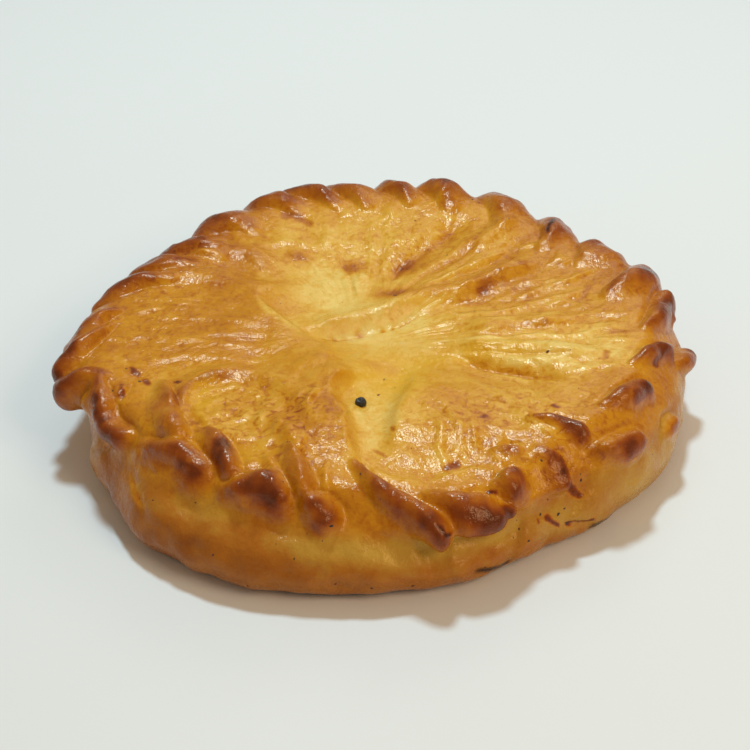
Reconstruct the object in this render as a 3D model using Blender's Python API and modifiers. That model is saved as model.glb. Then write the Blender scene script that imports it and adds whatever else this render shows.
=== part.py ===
"""A round meat pie, baked whole: a closed loaf of dough with a folded lid, a crimped rim and a peppercorn.

Run it from Blender's text editor, or with blender --background --python part.py.
The scene is in metres, and the sizes below are in millimetres. +Z is up and the front is at -Y.
"""

import itertools
import math

import bmesh
import bpy
import numpy as np

MM = 0.001

# How the hand-made loaf wanders round its middle, as {turn in degrees, counted from +X: millimetres}.
RIM_RADIUS = {
    0: 121.5, 12: 125, 22: 126, 35: 119.5, 47: 121, 60: 125.5, 75: 126, 90: 123.5, 105: 125.5, 122: 123.5,
    140: 117.5, 155: 119, 170: 125, 185: 128, 196: 123, 208: 117, 220: 113, 232: 111, 246: 112,
    256: 111, 264: 110, 272: 114, 281: 119, 290: 118, 298: 115, 306: 113, 316: 114, 326: 118,
    336: 118, 347: 119.5,
}
RIM_HEIGHT = {
    0: 42, 45: 43.5, 90: 45, 135: 43.5, 180: 42, 205: 41, 228: 42, 248: 41,
    266: 39, 282: 36, 300: 38, 320: 41, 340: 42,
}
BELLY_RADIUS = {
    3: 128, 15: 122, 30: 117, 60: 116, 90: 117, 120: 116, 150: 112, 180: 118, 200: 123, 212: 122.5,
    225: 129.5, 240: 128.5, 255: 126.5, 275: 122.5, 290: 121.5, 303: 118, 318: 122,
    330: 126, 340: 127, 352: 128,
}

# How far the section goes in under the rim. At the front the dough was rolled smoothly over instead.
UNDERCUT = {
    0: -3.0, 22: 2.0, 60: 4.0, 120: 4.0, 170: 3.0, 195: 2.0, 210: 0.0, 230: -1.0, 245: 1.0, 256: 0.0,
    264: -1.5, 272: 1.0, 281: 3.5, 290: 3.5, 300: 0.5, 312: -1.0, 325: -1.0, 345: -3.0,
}

# The cross-section, from the middle of the lid to the middle of the underside. A row gives its
# distance out, as shares of the rim's radius, the belly's radius and the undercut and a length to add,
# and then its height, as a share of the rim's height and a length to add.
LID_MIDDLE_HEIGHT = 35.0
FOOT_TUCK = 8.0
SECTION = [
    (0.00, 0.0, 0.0, 0.0, 0.00, LID_MIDDLE_HEIGHT),
    (0.25, 0.0, 0.0, 0.0, 0.00, LID_MIDDLE_HEIGHT + 1.2),
    (0.50, 0.0, 0.0, 0.0, 0.25, 28.0),
    (0.72, 0.0, 0.0, 0.0, 0.70, 11.0),
    (1.00, 0.0, 0.0, -23.0, 1.00, -0.6),
    (1.00, 0.0, 0.0, -9.0, 1.00, 0.0),
    (1.00, 0.0, 0.0, 0.0, 1.00, -7.5),
    (0.62, 0.38, -1.0, 0.0, 0.65, 0.0),
    (0.22, 0.78, -0.6, 0.0, 0.32, 7.0),
    (0.00, 1.0, 0.0, 0.0, 0.00, 12.0),
    (0.00, 1.0, 0.0, -2.5, 0.00, 4.5),
    (0.00, 1.0, 0.0, -FOOT_TUCK, 0.00, 0.0),
    (0.00, 0.0, 0.0, 0.0, 0.00, 0.0),
]
RIM_ROW = 6
FOOT_ROW = 11

# Crimps are fingers of dough folded over the rim. Each is a line of turns in degrees and reaches, a
# half width and a height. Reach is measured in millimetres along the section from the rim's tip: less
# than nothing on the lid, more than nothing down the wall.
FRONT_CRIMPS = [
    ([(171, -18), (174, -14), (178, -11), (181, -6)], 6.0, 3.6),
    ([(177, -19), (182, -13), (185, -7), (187, -1)], 6.4, 4.4),
    ([(195, -12), (193, -4), (192, 3)], 6.4, 5.4),
    ([(194, -12), (199, -8), (203, -5), (207, -2), (211, -1)], 5.2, 4.6),
    ([(199, -19), (201, -14), (203, -8)], 2.6, 1.4),
    ([(202, -32), (206, -28), (211, -23), (217, -17), (222, -13)], 5.4, 3.6),
    ([(217, -1), (222, -4), (227, -6), (232, -3)], 7.0, 3.8),
    ([(226, -20), (230, -18), (234, -15), (238, -11)], 5.2, 4.0),
    ([(239, -1), (242, -5), (246, -7), (250, -4)], 7.0, 4.0),
    ([(244, -20), (248, -12), (251, -7)], 3.2, 1.8),
    ([(247, -27), (251, -19), (255, -11)], 5.6, 3.2),
    ([(256, -8), (260, 0)], 6.0, 4.2),
    ([(265, -22), (269, -16), (272, -12), (275, -9), (278, -5), (280, -2)], 6.6, 5.0),
    ([(281, -14), (285, -8), (288, -4), (290, 0)], 7.2, 4.6),
    ([(291, -3), (294, 0)], 3.6, 2.4),
    ([(293, -10), (297, -9)], 6.6, 4.0),
    ([(306, -14), (307, -7), (307, 2)], 5.4, 2.2),
    ([(298, -26), (302, -20)], 3.6, 1.4),
    ([(312, -27), (315, -19), (316, -12)], 5.0, 3.6),
    ([(316, -3), (320, 0), (324, 1)], 5.2, 4.0),
    ([(326, -15), (331, -11.5), (336, -7)], 5.2, 4.0),
    ([(333, 11), (338, 11)], 4.2, 2.6),
    ([(343, -15), (348, -10), (351, -4)], 5.0, 4.2),
    ([(352, 4), (357, 8)], 4.2, 4.2),
    ([(357, -13), (362, -8), (370, -2)], 5.4, 4.2),
    ([(366, 3), (369, 2)], 3.6, 2.8),
]
# Round the back a crimp crosses the rim at each of these turns: half width and height.
BACK_CRIMPS = {
    17: (10.0, 4.2), 31: (9.0, 3.0), 44: (9.0, 3.6), 60: (11.0, 3.6),
    75: (10.0, 4.8), 85: (8.0, 3.6), 96: (10.0, 3.4), 105: (8.5, 4.2),
    114: (9.0, 3.4), 128: (10.0, 3.4), 140: (9.0, 3.0), 151: (9.0, 3.0),
    161: (9.0, 3.4),
}
# A back crimp's line, as steps in turn and reach from where it crosses the rim.
BACK_CRIMP_LINE = [(-5.0, -24.0), (-2.5, -14.0), (0.5, -6.0), (2.5, 1.0)]
# Its two sides differ: how many half widths each side has, and how soft its slope is.
CRIMP_STEEP_SIDE = 0.9
CRIMP_GENTLE_SIDE = 1.65
CRIMP_CRISPNESS = 1.0
CRIMP_SOFTNESS = 1.9
CRIMP_BLEND = 4.0
# At its root a crimp is this share of its width. It is fully wide and fully high these shares along.
CRIMP_ROOT_NARROWNESS = 0.6
CRIMP_WIDE_FROM = 0.6
CRIMP_RISES = (-0.3, 0.4)
# Over the rim a crimp also leans down and is pushed outwards, by these shares of its height.
CRIMP_LEAN = 0.10
CRIMP_PUSH = 0.34
LEAN_STARTS = -14.0
LEAN_WHOLE = 0.0
# The crimps' places are pushed about by this much, over this distance, so that no finger is ruled.
EDGE_WANDER = 1.5
EDGE_WANDER_SIZE = 13.0
WANDER_SEEDS = (31, 32)

# Folds of the lid: a line of places seen from above, how far the fold falls away on its left and on
# its right, and its height. A fold with a height below nothing is a crease.
LID_FOLDS = [
    ([(-50, 24), (-40, 10), (-30, -1), (-22, -9), (-14, -16)], 3.0, 24.0, 4.4),
    ([(-97, 44), (-80, 47), (-65, 42), (-50, 35), (-40, 30)], 7.0, 9.0, 3.0),
    ([(-80, 69), (-70, 65), (-55, 65), (-47, 56)], 6.0, 6.0, 2.8),
    ([(-24, 4), (-10, 8), (0, 11), (18, 17)], 2.0, 4.5, -3.4),
    ([(-24, 9), (-8, 14), (2, 17), (20, 25)], 7.0, 2.6, 4.6),
    ([(-8, -27), (-17, -34), (-19, -46), (-14, -60), (-12, -84)], 3.5, 16.0, 5.0),
    ([(16, -34), (13, -44), (9, -56), (6, -76)], 18.0, 3.5, 4.4),
    ([(-79, -58), (-76, -40), (-68, -30), (-55, -27), (-42, -33), (-30, -48)], 5.0, 5.0, 2.8),
    ([(33, -18), (45, -25), (57, -30), (72, -38)], 3.0, 3.0, -3.0),
    ([(34, -8), (60, -16), (84, -23)], 6.0, 5.0, 3.2),
    ([(38, 5), (57, 3), (80, 6)], 5.0, 5.0, 2.8),
    ([(10, 28), (36, 33), (50, 40), (70, 48)], 6.0, 5.0, 3.4),
    ([(42, 64), (66, 84)], 6.0, 6.0, 2.6),
    ([(5, 48), (28, 72), (40, 86)], 6.0, 6.0, -2.6),
    ([(-30, -90), (-34, -72), (-42, -58)], 4.0, 4.0, 2.4),
]
# Broad swellings and hollows of the lid: middle, half lengths along x and y, and height.
LID_SWELLINGS = [
    (-74, 8, 44, 34, 2.6),
    (44, -66, 32, 30, 3.4),
    (8, -30, 16, 16, -1.6),
    (-30, -66, 16, 22, 1.6),
    (-5, 62, 26, 20, -1.4),
]

# Uneven dough: the size of the lumps, how high they stand and a seed.
LUMPS = [(26.0, 1.0, 11), (12.0, 0.6, 12)]
LATTICE = 32
# The flat faces cut across the curves, so the dough is set out by this much to make up for it.
PLUMPNESS = 0.5
# The lumps are whole above this height, and the foot stays flat.
ABOVE_FOOT = 6.0

# The folds are whole this far in from the rim's tip, and gone where there are only crimps.
FOLDS_WHOLE = 26.0
CRIMPS_ONLY = 2.0

# Where a curve is read between one given place and the next, and how small a step gives a slope.
SPAN_SHARES = (0.2, 0.4, 0.6, 0.8, 1.0)
ROW_STEP = 0.02

PEPPERCORN_DIAMETER = 4.6
PEPPERCORN_PLACE = (-6.5, -48.0)
PEPPERCORN_SHOWING = 0.72

# The turned body is made much finer than it stays, so that the triangles end where the folds are.
TURN_STEPS = 288
ROW_STEPS = [3, 5, 6, 4, 6, 6, 4, 3, 3, 3, 3, 1]
BODY_TRIANGLES = 11000
FLAT_BELOW = 0.4


def hermite(start, end, leave, arrive, share):
    """The cubic that leaves start and arrives at end with the slopes given."""
    squared = share * share
    cubed = squared * share
    return (
        (2 * cubed - 3 * squared + 1) * start
        + (cubed - 2 * squared + share) * leave
        + (3 * squared - 2 * cubed) * end
        + (cubed - squared) * arrive
    )


def ease(value, low, high):
    """From 0 at low to 1 at high, with no corner at either end."""
    share = np.clip((value - low) / (high - low), 0.0, 1.0)
    return share * share * (3 - 2 * share)


def round_the_pie(table, turn):
    """A smooth closed curve through a table's values, read at the turns given in radians."""
    full_turn = 2 * math.pi
    angles = np.radians(sorted(table))
    values = np.array([table[key] for key in sorted(table)], float)
    slopes = (np.roll(values, -1) - np.roll(values, 1)) / np.mod(
        np.roll(angles, -1) - np.roll(angles, 1), full_turn
    )
    turn = np.mod(turn, full_turn)
    ahead = np.searchsorted(angles, turn, side="right") % len(values)
    behind = ahead - 1
    span = np.mod(angles[ahead] - angles[behind], full_turn)
    share = np.mod(turn - angles[behind], full_turn) / span
    return hermite(values[behind], values[ahead], slopes[behind] * span, slopes[ahead] * span, share)


def loaf_surface(row, turn):
    """The smooth loaf before any fold: points in millimetres, at section rows and turns."""
    rim = round_the_pie(RIM_RADIUS, turn)
    height = round_the_pie(RIM_HEIGHT, turn)
    belly = round_the_pie(BELLY_RADIUS, turn)
    undercut = round_the_pie(UNDERCUT, turn)
    distances = np.array([a * rim + b * belly + c * undercut + d for a, b, c, d, _, _ in SECTION])
    heights = np.array([share * height + more for _, _, _, _, share, more in SECTION])
    low = np.clip(np.floor(row).astype(int), 0, FOOT_ROW)
    share = row - low
    place = np.arange(len(turn))

    def along_section(values):
        def at(index):
            return values[np.clip(index, 0, FOOT_ROW + 1), place]

        leave = (at(low + 1) - at(low - 1)) / 2
        arrive = (at(low + 2) - at(low)) / 2
        curved = hermite(at(low), at(low + 1), leave, arrive, share)
        straight = at(low) * (1 - share) + at(low + 1) * share
        return np.where(low < FOOT_ROW - 1, curved, straight)

    radius = along_section(distances)
    return np.stack(
        [radius * np.cos(turn), radius * np.sin(turn), along_section(heights)], axis=-1
    )


def loaf_normals(row, turn):
    """Unit normals of the smooth loaf, from small steps along its two directions."""
    step = ROW_STEP
    along = loaf_surface(np.minimum(row + step, FOOT_ROW), turn) - loaf_surface(row - step, turn)
    across = np.stack([-np.sin(turn), np.cos(turn), np.zeros_like(turn)], axis=-1)
    normal = np.cross(along, across)
    length = np.linalg.norm(normal, axis=1, keepdims=True)
    return normal / np.maximum(length, 1e-9)


def section_reach():
    """Rows of the section, and how far along its mean outline each lies from the rim's tip."""
    rows = np.linspace(0, FOOT_ROW + 1, 601)
    outline = np.zeros((len(rows), 2))
    turns = np.radians(range(0, 360, 10))
    for turn in turns:
        points = loaf_surface(rows, np.full(len(rows), turn))
        outline[:, 0] += np.hypot(points[:, 0], points[:, 1]) / len(turns)
        outline[:, 1] += points[:, 2] / len(turns)
    lengths = np.linalg.norm(np.diff(outline, axis=0), axis=1)
    reach = np.concatenate([[0.0], np.cumsum(lengths)])
    return rows, reach - np.interp(RIM_ROW, rows, reach)


REACH_ROWS, REACH_VALUES = section_reach()
MEAN_RIM = sum(RIM_RADIUS.values()) / len(RIM_RADIUS)


def cloud(places, seed):
    """Smooth random values from -1 to 1 that change over a distance of about 1."""
    lattice = np.random.default_rng(seed).uniform(-1, 1, (LATTICE, LATTICE, LATTICE))
    low = np.floor(places).astype(int)
    share = places - low
    share = share * share * (3 - 2 * share)
    total = np.zeros(len(places))
    for corner in itertools.product((0, 1), repeat=3):
        weight = np.prod(np.where(corner, share, 1 - share), axis=1)
        index = (low + corner) % LATTICE
        total += weight * lattice[index[:, 0], index[:, 1], index[:, 2]]
    return total


def smooth_line(places):
    """Places close together on a curve through the places given."""
    given = np.array(places, float)
    line = [given[0]]
    ends = np.vstack([2 * given[0] - given[1], given, 2 * given[-1] - given[-2]])
    for k in range(1, len(ends) - 2):
        leave = (ends[k + 1] - ends[k - 1]) / 2
        arrive = (ends[k + 2] - ends[k]) / 2
        line += [hermite(ends[k], ends[k + 1], leave, arrive, share) for share in SPAN_SHARES]
    return np.array(line)


def near_line(x, y, places):
    """Distance to a line, the side of it from -1 to 1, and the share along it, for every place."""
    line = smooth_line(places)
    nearest = np.full(len(x), np.inf)
    side = np.zeros(len(x))
    share_along = np.zeros(len(x))
    for k in range(len(line) - 1):
        step = line[k + 1] - line[k]
        squared = step @ step
        raw = ((x - line[k][0]) * step[0] + (y - line[k][1]) * step[1]) / squared
        share = np.clip(raw, 0.0, 1.0)
        off_x = x - line[k][0] - share * step[0]
        off_y = y - line[k][1] - share * step[1]
        distance = np.hypot(off_x, off_y)
        closer = distance < nearest
        nearest = np.where(closer, distance, nearest)
        turned = (step[0] * off_y - step[1] * off_x) / (math.sqrt(squared) * distance + 1e-9)
        side = np.where(closer, turned, side)
        share_along = np.where(closer, (k + share) / (len(line) - 1), share_along)
    return nearest, side, share_along


def all_crimps():
    """The front crimps and, round the back, one for each turn of the table."""
    crimps = list(FRONT_CRIMPS)
    for turn, (half_width, height) in BACK_CRIMPS.items():
        line = [(turn + step_turn, step_reach) for step_turn, step_reach in BACK_CRIMP_LINE]
        crimps.append((line, half_width, height))
    return crimps


def unrolled(turn, line):
    """Millimetres round the rim from a line's first turn, and the line in such millimetres."""
    first_turn = math.radians(line[0][0])
    round_way = (np.mod(turn - first_turn + math.pi, 2 * math.pi) - math.pi) * MEAN_RIM
    return round_way, [((math.radians(a) - first_turn) * MEAN_RIM, b) for a, b in line]


def crimp_relief(reach, turn):
    """How far the crimps stand out of the smooth loaf. Each is a finger that swells towards its tip."""
    powers = np.zeros_like(reach)
    for line, half_width, height in all_crimps():
        round_way, places = unrolled(turn, line)
        widest = half_width * CRIMP_GENTLE_SIDE
        low = np.min(places, axis=0) - widest
        high = np.max(places, axis=0) + widest
        near = (round_way > low[0]) & (round_way < high[0]) & (reach > low[1]) & (reach < high[1])
        distance, side, along = near_line(round_way[near], reach[near], places)
        gentle = 0.5 + 0.5 * side
        sided = CRIMP_STEEP_SIDE + (CRIMP_GENTLE_SIDE - CRIMP_STEEP_SIDE) * gentle
        swelling = CRIMP_ROOT_NARROWNESS + (1 - CRIMP_ROOT_NARROWNESS) * ease(along, 0.0, CRIMP_WIDE_FROM)
        share = (distance / (half_width * sided * swelling)) ** 2
        softness = CRIMP_CRISPNESS + (CRIMP_SOFTNESS - CRIMP_CRISPNESS) * gentle
        dome = np.maximum(1 - share, 0.0) ** softness
        powers[near] += (height * ease(along, *CRIMP_RISES) * dome) ** CRIMP_BLEND
    return powers ** (1 / CRIMP_BLEND)


def fold_relief(x, y, places, left_fall, right_fall, height):
    """One fold: highest along its line, and falling away on each side."""
    nearest, side, share_along = near_line(x, y, places)
    fall = right_fall + (left_fall - right_fall) * (0.5 + 0.5 * side)
    fade = ease(share_along, -0.15, 0.2) * ease(1 - share_along, -0.15, 0.2)
    return height * fade * np.exp(-((nearest / fall) ** 2))


def lid_relief(x, y, reach):
    """The lid's folds, creases and swellings, fading out before the crimps."""
    relief = np.zeros_like(x)
    for middle_x, middle_y, half_x, half_y, height in LID_SWELLINGS:
        share = ((x - middle_x) / half_x) ** 2 + ((y - middle_y) / half_y) ** 2
        relief += height * np.exp(-1.5 * share)
    for places, left_fall, right_fall, height in LID_FOLDS:
        relief += fold_relief(x, y, places, left_fall, right_fall, height)
    return relief * ease(-reach, CRIMPS_ONLY, FOLDS_WHOLE)


def crust_surface(row, turn):
    """The finished crust: points in millimetres at section rows and turns."""
    points = loaf_surface(row, turn)
    normals = loaf_normals(row, turn)
    reach = np.interp(row, REACH_ROWS, REACH_VALUES)
    wander = EDGE_WANDER * cloud(points / EDGE_WANDER_SIZE, WANDER_SEEDS[0])
    wander_round = EDGE_WANDER * cloud(points / EDGE_WANDER_SIZE, WANDER_SEEDS[1]) / MEAN_RIM
    crimps = crimp_relief(reach + wander, turn + wander_round)
    over_rim = crimps * ease(reach, LEAN_STARTS, LEAN_WHOLE)
    lid = lid_relief(points[:, 0], points[:, 1], reach)
    lumps = sum(height * cloud(points / size, seed) for size, height, seed in LUMPS)
    lumps = (lumps + PLUMPNESS) * ease(points[:, 2], 0.0, ABOVE_FOOT)
    points = points + normals * (crimps + lid + lumps)[:, None]
    points[:, 0] += CRIMP_PUSH * over_rim * np.cos(turn)
    points[:, 1] += CRIMP_PUSH * over_rim * np.sin(turn)
    points[:, 2] = np.maximum(points[:, 2] - CRIMP_LEAN * over_rim, 0.0)
    return points


def turned_loaf():
    """The plain loaf as a profile turned round Z. Each point keeps its row of the section."""
    rows = [0.0]
    for row, steps in enumerate(ROW_STEPS):
        rows += [row + (step + 1) / steps for step in range(steps)]
    outline = loaf_surface(np.array(rows), np.zeros(len(rows))) * MM
    profile = bpy.data.meshes.new("loaf profile")
    profile.from_pydata(
        [(point[0], 0.0, point[2]) for point in outline],
        [(k, k + 1) for k in range(len(rows) - 1)],
        [],
    )
    kept_rows = profile.attributes.new("row", "FLOAT", "POINT")
    kept_rows.data.foreach_set("value", rows)
    guide = bpy.data.objects.new("loaf profile", profile)
    bpy.context.collection.objects.link(guide)
    screw = guide.modifiers.new("turn", "SCREW")
    screw.axis = "Z"
    screw.steps = TURN_STEPS
    screw.render_steps = TURN_STEPS
    screw.use_merge_vertices = True
    screw.merge_threshold = 0.00001
    turned = bpy.data.meshes.new_from_object(guide.evaluated_get(bpy.context.evaluated_depsgraph_get()))
    bpy.data.objects.remove(guide)
    return turned


def fold_the_loaf(mesh):
    """Moves each point of the turned loaf to its place on the finished crust."""
    count = len(mesh.vertices)
    places = np.empty(count * 3)
    mesh.vertices.foreach_get("co", places)
    places = places.reshape(-1, 3)
    rows = np.empty(count)
    mesh.attributes["row"].data.foreach_get("value", rows)
    turns = np.arctan2(places[:, 1], places[:, 0])
    folded = crust_surface(rows, turns) * MM
    mesh.vertices.foreach_set("co", folded.ravel())
    mesh.update()


def dough_material():
    """Egg-washed dough, baked golden."""
    material = bpy.data.materials.new("baked dough")
    material.use_nodes = True
    shader = material.node_tree.nodes["Principled BSDF"]
    shader.inputs["Base Color"].default_value = (0.68, 0.36, 0.06, 1.0)
    shader.inputs["Roughness"].default_value = 0.35
    shader.inputs["Metallic"].default_value = 0.0
    return material


def whole_loaf(parts):
    """The folded loaf as one object, still with all the faces of the turned profile."""
    mesh = turned_loaf()
    fold_the_loaf(mesh)
    mesh.name = "pie"
    mesh.materials.append(dough_material())
    pie = bpy.data.objects.new("pie", mesh)
    parts.objects.link(pie)
    return pie


def thin_out(pie):
    """Leaves triangles where the folds are, drops them where the dough is smooth, and flattens the foot."""
    triangles = sum(len(face.vertices) - 2 for face in pie.data.polygons)
    thinning = pie.modifiers.new("fewer triangles", "DECIMATE")
    thinning.ratio = BODY_TRIANGLES / triangles
    thinning.use_collapse_triangulate = True
    apply_modifiers(pie)
    shape = bmesh.new()
    shape.from_mesh(pie.data)
    for vertex in shape.verts:
        if vertex.co.z < FLAT_BELOW * MM:
            vertex.co.z = 0.0
    shape.to_mesh(pie.data)
    shape.free()


def apply_modifiers(thing):
    """Replaces the object's mesh by what its modifiers make of it."""
    finished = bpy.data.meshes.new_from_object(
        thing.evaluated_get(bpy.context.evaluated_depsgraph_get())
    )
    thing.modifiers.clear()
    old = thing.data
    thing.data = finished
    bpy.data.meshes.remove(old)
    finished.name = thing.name


def add_peppercorn(pie, cutters):
    """One black peppercorn, pressed into the lid and joined to it."""
    radius = PEPPERCORN_DIAMETER / 2
    start = (PEPPERCORN_PLACE[0] * MM, PEPPERCORN_PLACE[1] * MM, 0.1)
    _, lid_point, _, _ = pie.ray_cast(start, (0, 0, -1))
    sunk = radius * (2 * PEPPERCORN_SHOWING - 1) * MM
    bpy.ops.mesh.primitive_uv_sphere_add(
        segments=10,
        ring_count=7,
        radius=radius * MM,
        location=(lid_point[0], lid_point[1], lid_point[2] + sunk),
    )
    peppercorn = bpy.context.object
    peppercorn.name = "peppercorn"
    for collection in list(peppercorn.users_collection):
        collection.objects.unlink(peppercorn)
    cutters.objects.link(peppercorn)
    joining = pie.modifiers.new("peppercorn joined", "BOOLEAN")
    joining.operation = "UNION"
    joining.solver = "EXACT"
    joining.operand_type = "COLLECTION"
    joining.collection = cutters
    apply_modifiers(pie)
    bpy.data.objects.remove(peppercorn)


def centre_on_origin(pie):
    """Slides the pie so that the middle of its outline stands over the origin."""
    places = np.array([vertex.co for vertex in pie.data.vertices])
    middle = (places.min(axis=0) + places.max(axis=0)) / 2
    for vertex in pie.data.vertices:
        vertex.co.x -= middle[0]
        vertex.co.y -= middle[1]
    print("slid by", np.round(middle[:2] / MM, 2), "mm")


def main():
    for thing in list(bpy.data.objects):
        bpy.data.objects.remove(thing)
    parts = bpy.data.collections.new("meat pie")
    cutters = bpy.data.collections.new("cutters")
    bpy.context.scene.collection.children.link(parts)
    bpy.context.scene.collection.children.link(cutters)
    pie = whole_loaf(parts)
    thin_out(pie)
    add_peppercorn(pie, cutters)
    centre_on_origin(pie)
    pie.data.shade_smooth()
    sides = np.array(pie.dimensions) / MM
    print("pie", np.round(sides, 1), "mm,", len(pie.data.polygons), "faces")


main()
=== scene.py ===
# %% [markdown]
# # A round meat pie, baked golden
# The pie is one closed parcel of soft dough. Its lid is gathered in folds towards the middle, and the
# edge is crimped into fingers that lean one way round the rim. It is brushed with egg before baking,
# which gives the gold colour and the gloss. This lesson builds the crust, one peppercorn and the flecks
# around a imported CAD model, which is loaded first and says how large everything is.

import itertools
import math

import bpy
import numpy as np
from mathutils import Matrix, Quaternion, Vector
from mathutils.bvhtree import BVHTree


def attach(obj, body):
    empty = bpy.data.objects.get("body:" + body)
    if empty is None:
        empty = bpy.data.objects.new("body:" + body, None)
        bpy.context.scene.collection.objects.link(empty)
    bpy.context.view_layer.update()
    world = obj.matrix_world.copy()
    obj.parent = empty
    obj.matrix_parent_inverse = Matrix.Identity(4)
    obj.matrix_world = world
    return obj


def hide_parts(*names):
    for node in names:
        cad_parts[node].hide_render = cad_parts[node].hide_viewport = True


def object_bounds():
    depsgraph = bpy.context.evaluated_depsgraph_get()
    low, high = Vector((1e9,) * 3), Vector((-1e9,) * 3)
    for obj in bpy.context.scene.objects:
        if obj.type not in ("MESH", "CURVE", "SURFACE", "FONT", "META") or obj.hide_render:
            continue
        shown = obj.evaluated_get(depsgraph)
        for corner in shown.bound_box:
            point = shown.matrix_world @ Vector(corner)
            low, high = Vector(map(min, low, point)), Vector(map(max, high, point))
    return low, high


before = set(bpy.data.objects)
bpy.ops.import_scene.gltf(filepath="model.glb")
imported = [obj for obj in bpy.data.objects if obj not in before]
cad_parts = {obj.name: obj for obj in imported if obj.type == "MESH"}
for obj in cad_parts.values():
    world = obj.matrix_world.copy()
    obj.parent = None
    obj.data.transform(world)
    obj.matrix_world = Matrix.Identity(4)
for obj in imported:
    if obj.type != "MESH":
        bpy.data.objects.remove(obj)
cad_box = [list(corner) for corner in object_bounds()]
MM = 0.001
print("the packed pie in mm:", np.round(np.array(cad_box) / MM, 1).tolist())

# %% [markdown]
# ## Camera
# The photograph looks down at the pie by 34 degrees from about 0.7 m, through a long lens, and the
# camera is turned a little. The places in this lesson were measured round the middle of the rim, and
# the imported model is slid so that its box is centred, so the camera and the crust slide along with it.

# %% Place the camera
SLIDE = Vector((0.12, -2.37, 0.0)) * MM
LOOKS_DOWN = math.radians(34.0)
CAMERA_DISTANCE = 0.7
AIM_HEIGHT = 0.025
IMAGE_SIDE = 750
FOCAL_PIXELS = 1675.0
AIM_PIXEL = (376.0, 361.5)
CAMERA_ROLL = math.radians(-1.9)
SENSOR = 36.0


def new_object(name, data):
    """A new object of the scene, at the origin and unturned."""
    made = bpy.data.objects.new(name, data)
    bpy.context.scene.collection.objects.link(made)
    return made


aim = Vector((0.0, 0.0, AIM_HEIGHT)) + SLIDE
backwards = Vector((0.0, -math.cos(LOOKS_DOWN), math.sin(LOOKS_DOWN)))
camera_data = bpy.data.cameras.new("camera")
camera_data.sensor_width = SENSOR
camera_data.lens = FOCAL_PIXELS * SENSOR / IMAGE_SIDE
camera_data.shift_x = (IMAGE_SIDE / 2 - AIM_PIXEL[0]) / IMAGE_SIDE
camera_data.shift_y = (AIM_PIXEL[1] - IMAGE_SIDE / 2) / IMAGE_SIDE
camera = new_object("camera", camera_data)
camera.location = aim + CAMERA_DISTANCE * backwards
camera.rotation_mode = "QUATERNION"
camera.rotation_quaternion = (-backwards).to_track_quat("-Z", "Y") @ Quaternion((0, 0, 1), CAMERA_ROLL)
bpy.context.scene.camera = camera
bpy.context.scene.view_settings.view_transform = "Standard"
print("lens in mm:", round(camera_data.lens, 1))

# %% [markdown]
# ## Helpers for materials
# Colours are picked from the screen as sRGB hex values, but light adds up in linear values, so one
# function turns each hex value linear. Another adds a node to a tree with its settings and links,
# which keeps the node trees below short enough to read as recipes.

# %% Helpers for colours and nodes
def linear(hex_colour):
    """An sRGB colour such as '#C98A24' as linear red, green, blue and alpha."""
    parts = [int(hex_colour[k:k + 2], 16) / 255 for k in (1, 3, 5)]
    return [p / 12.92 if p <= 0.04045 else ((p + 0.055) / 1.055) ** 2.4 for p in parts] + [1.0]


def give(tree, node, inputs):
    """Gives each input named a number, a colour or another node's socket."""
    for name, value in inputs.items():
        if isinstance(value, bpy.types.NodeSocket):
            tree.links.new(value, node.inputs[name])
        else:
            node.inputs[name].default_value = value


def add(tree, kind, inputs=None, colours=(), **settings):
    """A new node with its settings, its inputs and, for a colour ramp, its positions and colours."""
    node = tree.nodes.new(kind)
    for name, value in settings.items():
        setattr(node, name, value)
    for place, (position, hex_colour) in enumerate(colours):
        elements = node.color_ramp.elements
        element = elements[place] if place < 2 else elements.new(position)
        element.position = position
        element.color = linear(hex_colour)
    give(tree, node, inputs or {})
    return node


def new_material(name):
    """A material with a plain Principled shader, its node tree and the shader."""
    material = bpy.data.materials.new(name)
    material.use_nodes = True
    return material, material.node_tree, material.node_tree.nodes["Principled BSDF"]


print("dough gold is", np.round(linear("#C98A24"), 3).tolist())

# %% [markdown]
# ## Floor and light
# The pie stands on a plain pale table. A small round lamp hangs above it, a little behind, so that the
# crimped rim throws a scalloped shadow to the front. Two soft panels and the warm room fill the rest.
# The lamp is cooler than the room, which is why the shadow looks tan and the gloss looks white.

# %% Make the floor
FLOOR_HALF_SIDE = 3.0
floor_mesh = bpy.data.meshes.new("floor")
floor_mesh.from_pydata(
    [(x * FLOOR_HALF_SIDE, y * FLOOR_HALF_SIDE, 0.0) for x, y in ((-1, -1), (1, -1), (1, 1), (-1, 1))],
    [],
    [(0, 1, 2, 3)],
)
floor = new_object("floor", floor_mesh)

# Matt painted board: nearly white, with a faint unevenness that only its roughness shows.
BRUSH_MARKS = 25 * MM
floor_paint, tree, shader = new_material("matt white painted board")
place = add(tree, "ShaderNodeTexCoord").outputs["Object"]
marks = add(
    tree, "ShaderNodeTexNoise", {"Vector": place, "Scale": 1 / BRUSH_MARKS, "Detail": 3.0}
).outputs["Fac"]
rough = add(tree, "ShaderNodeMapRange", {"Value": marks, "To Min": 0.55, "To Max": 0.7}).outputs["Result"]
give(tree, shader, {"Base Color": linear("#E6E8E8"), "Roughness": rough, "Specular IOR Level": 0.25})
floor_mesh.materials.append(floor_paint)
print("floor of", 2 * FLOOR_HALF_SIDE, "m")

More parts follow.
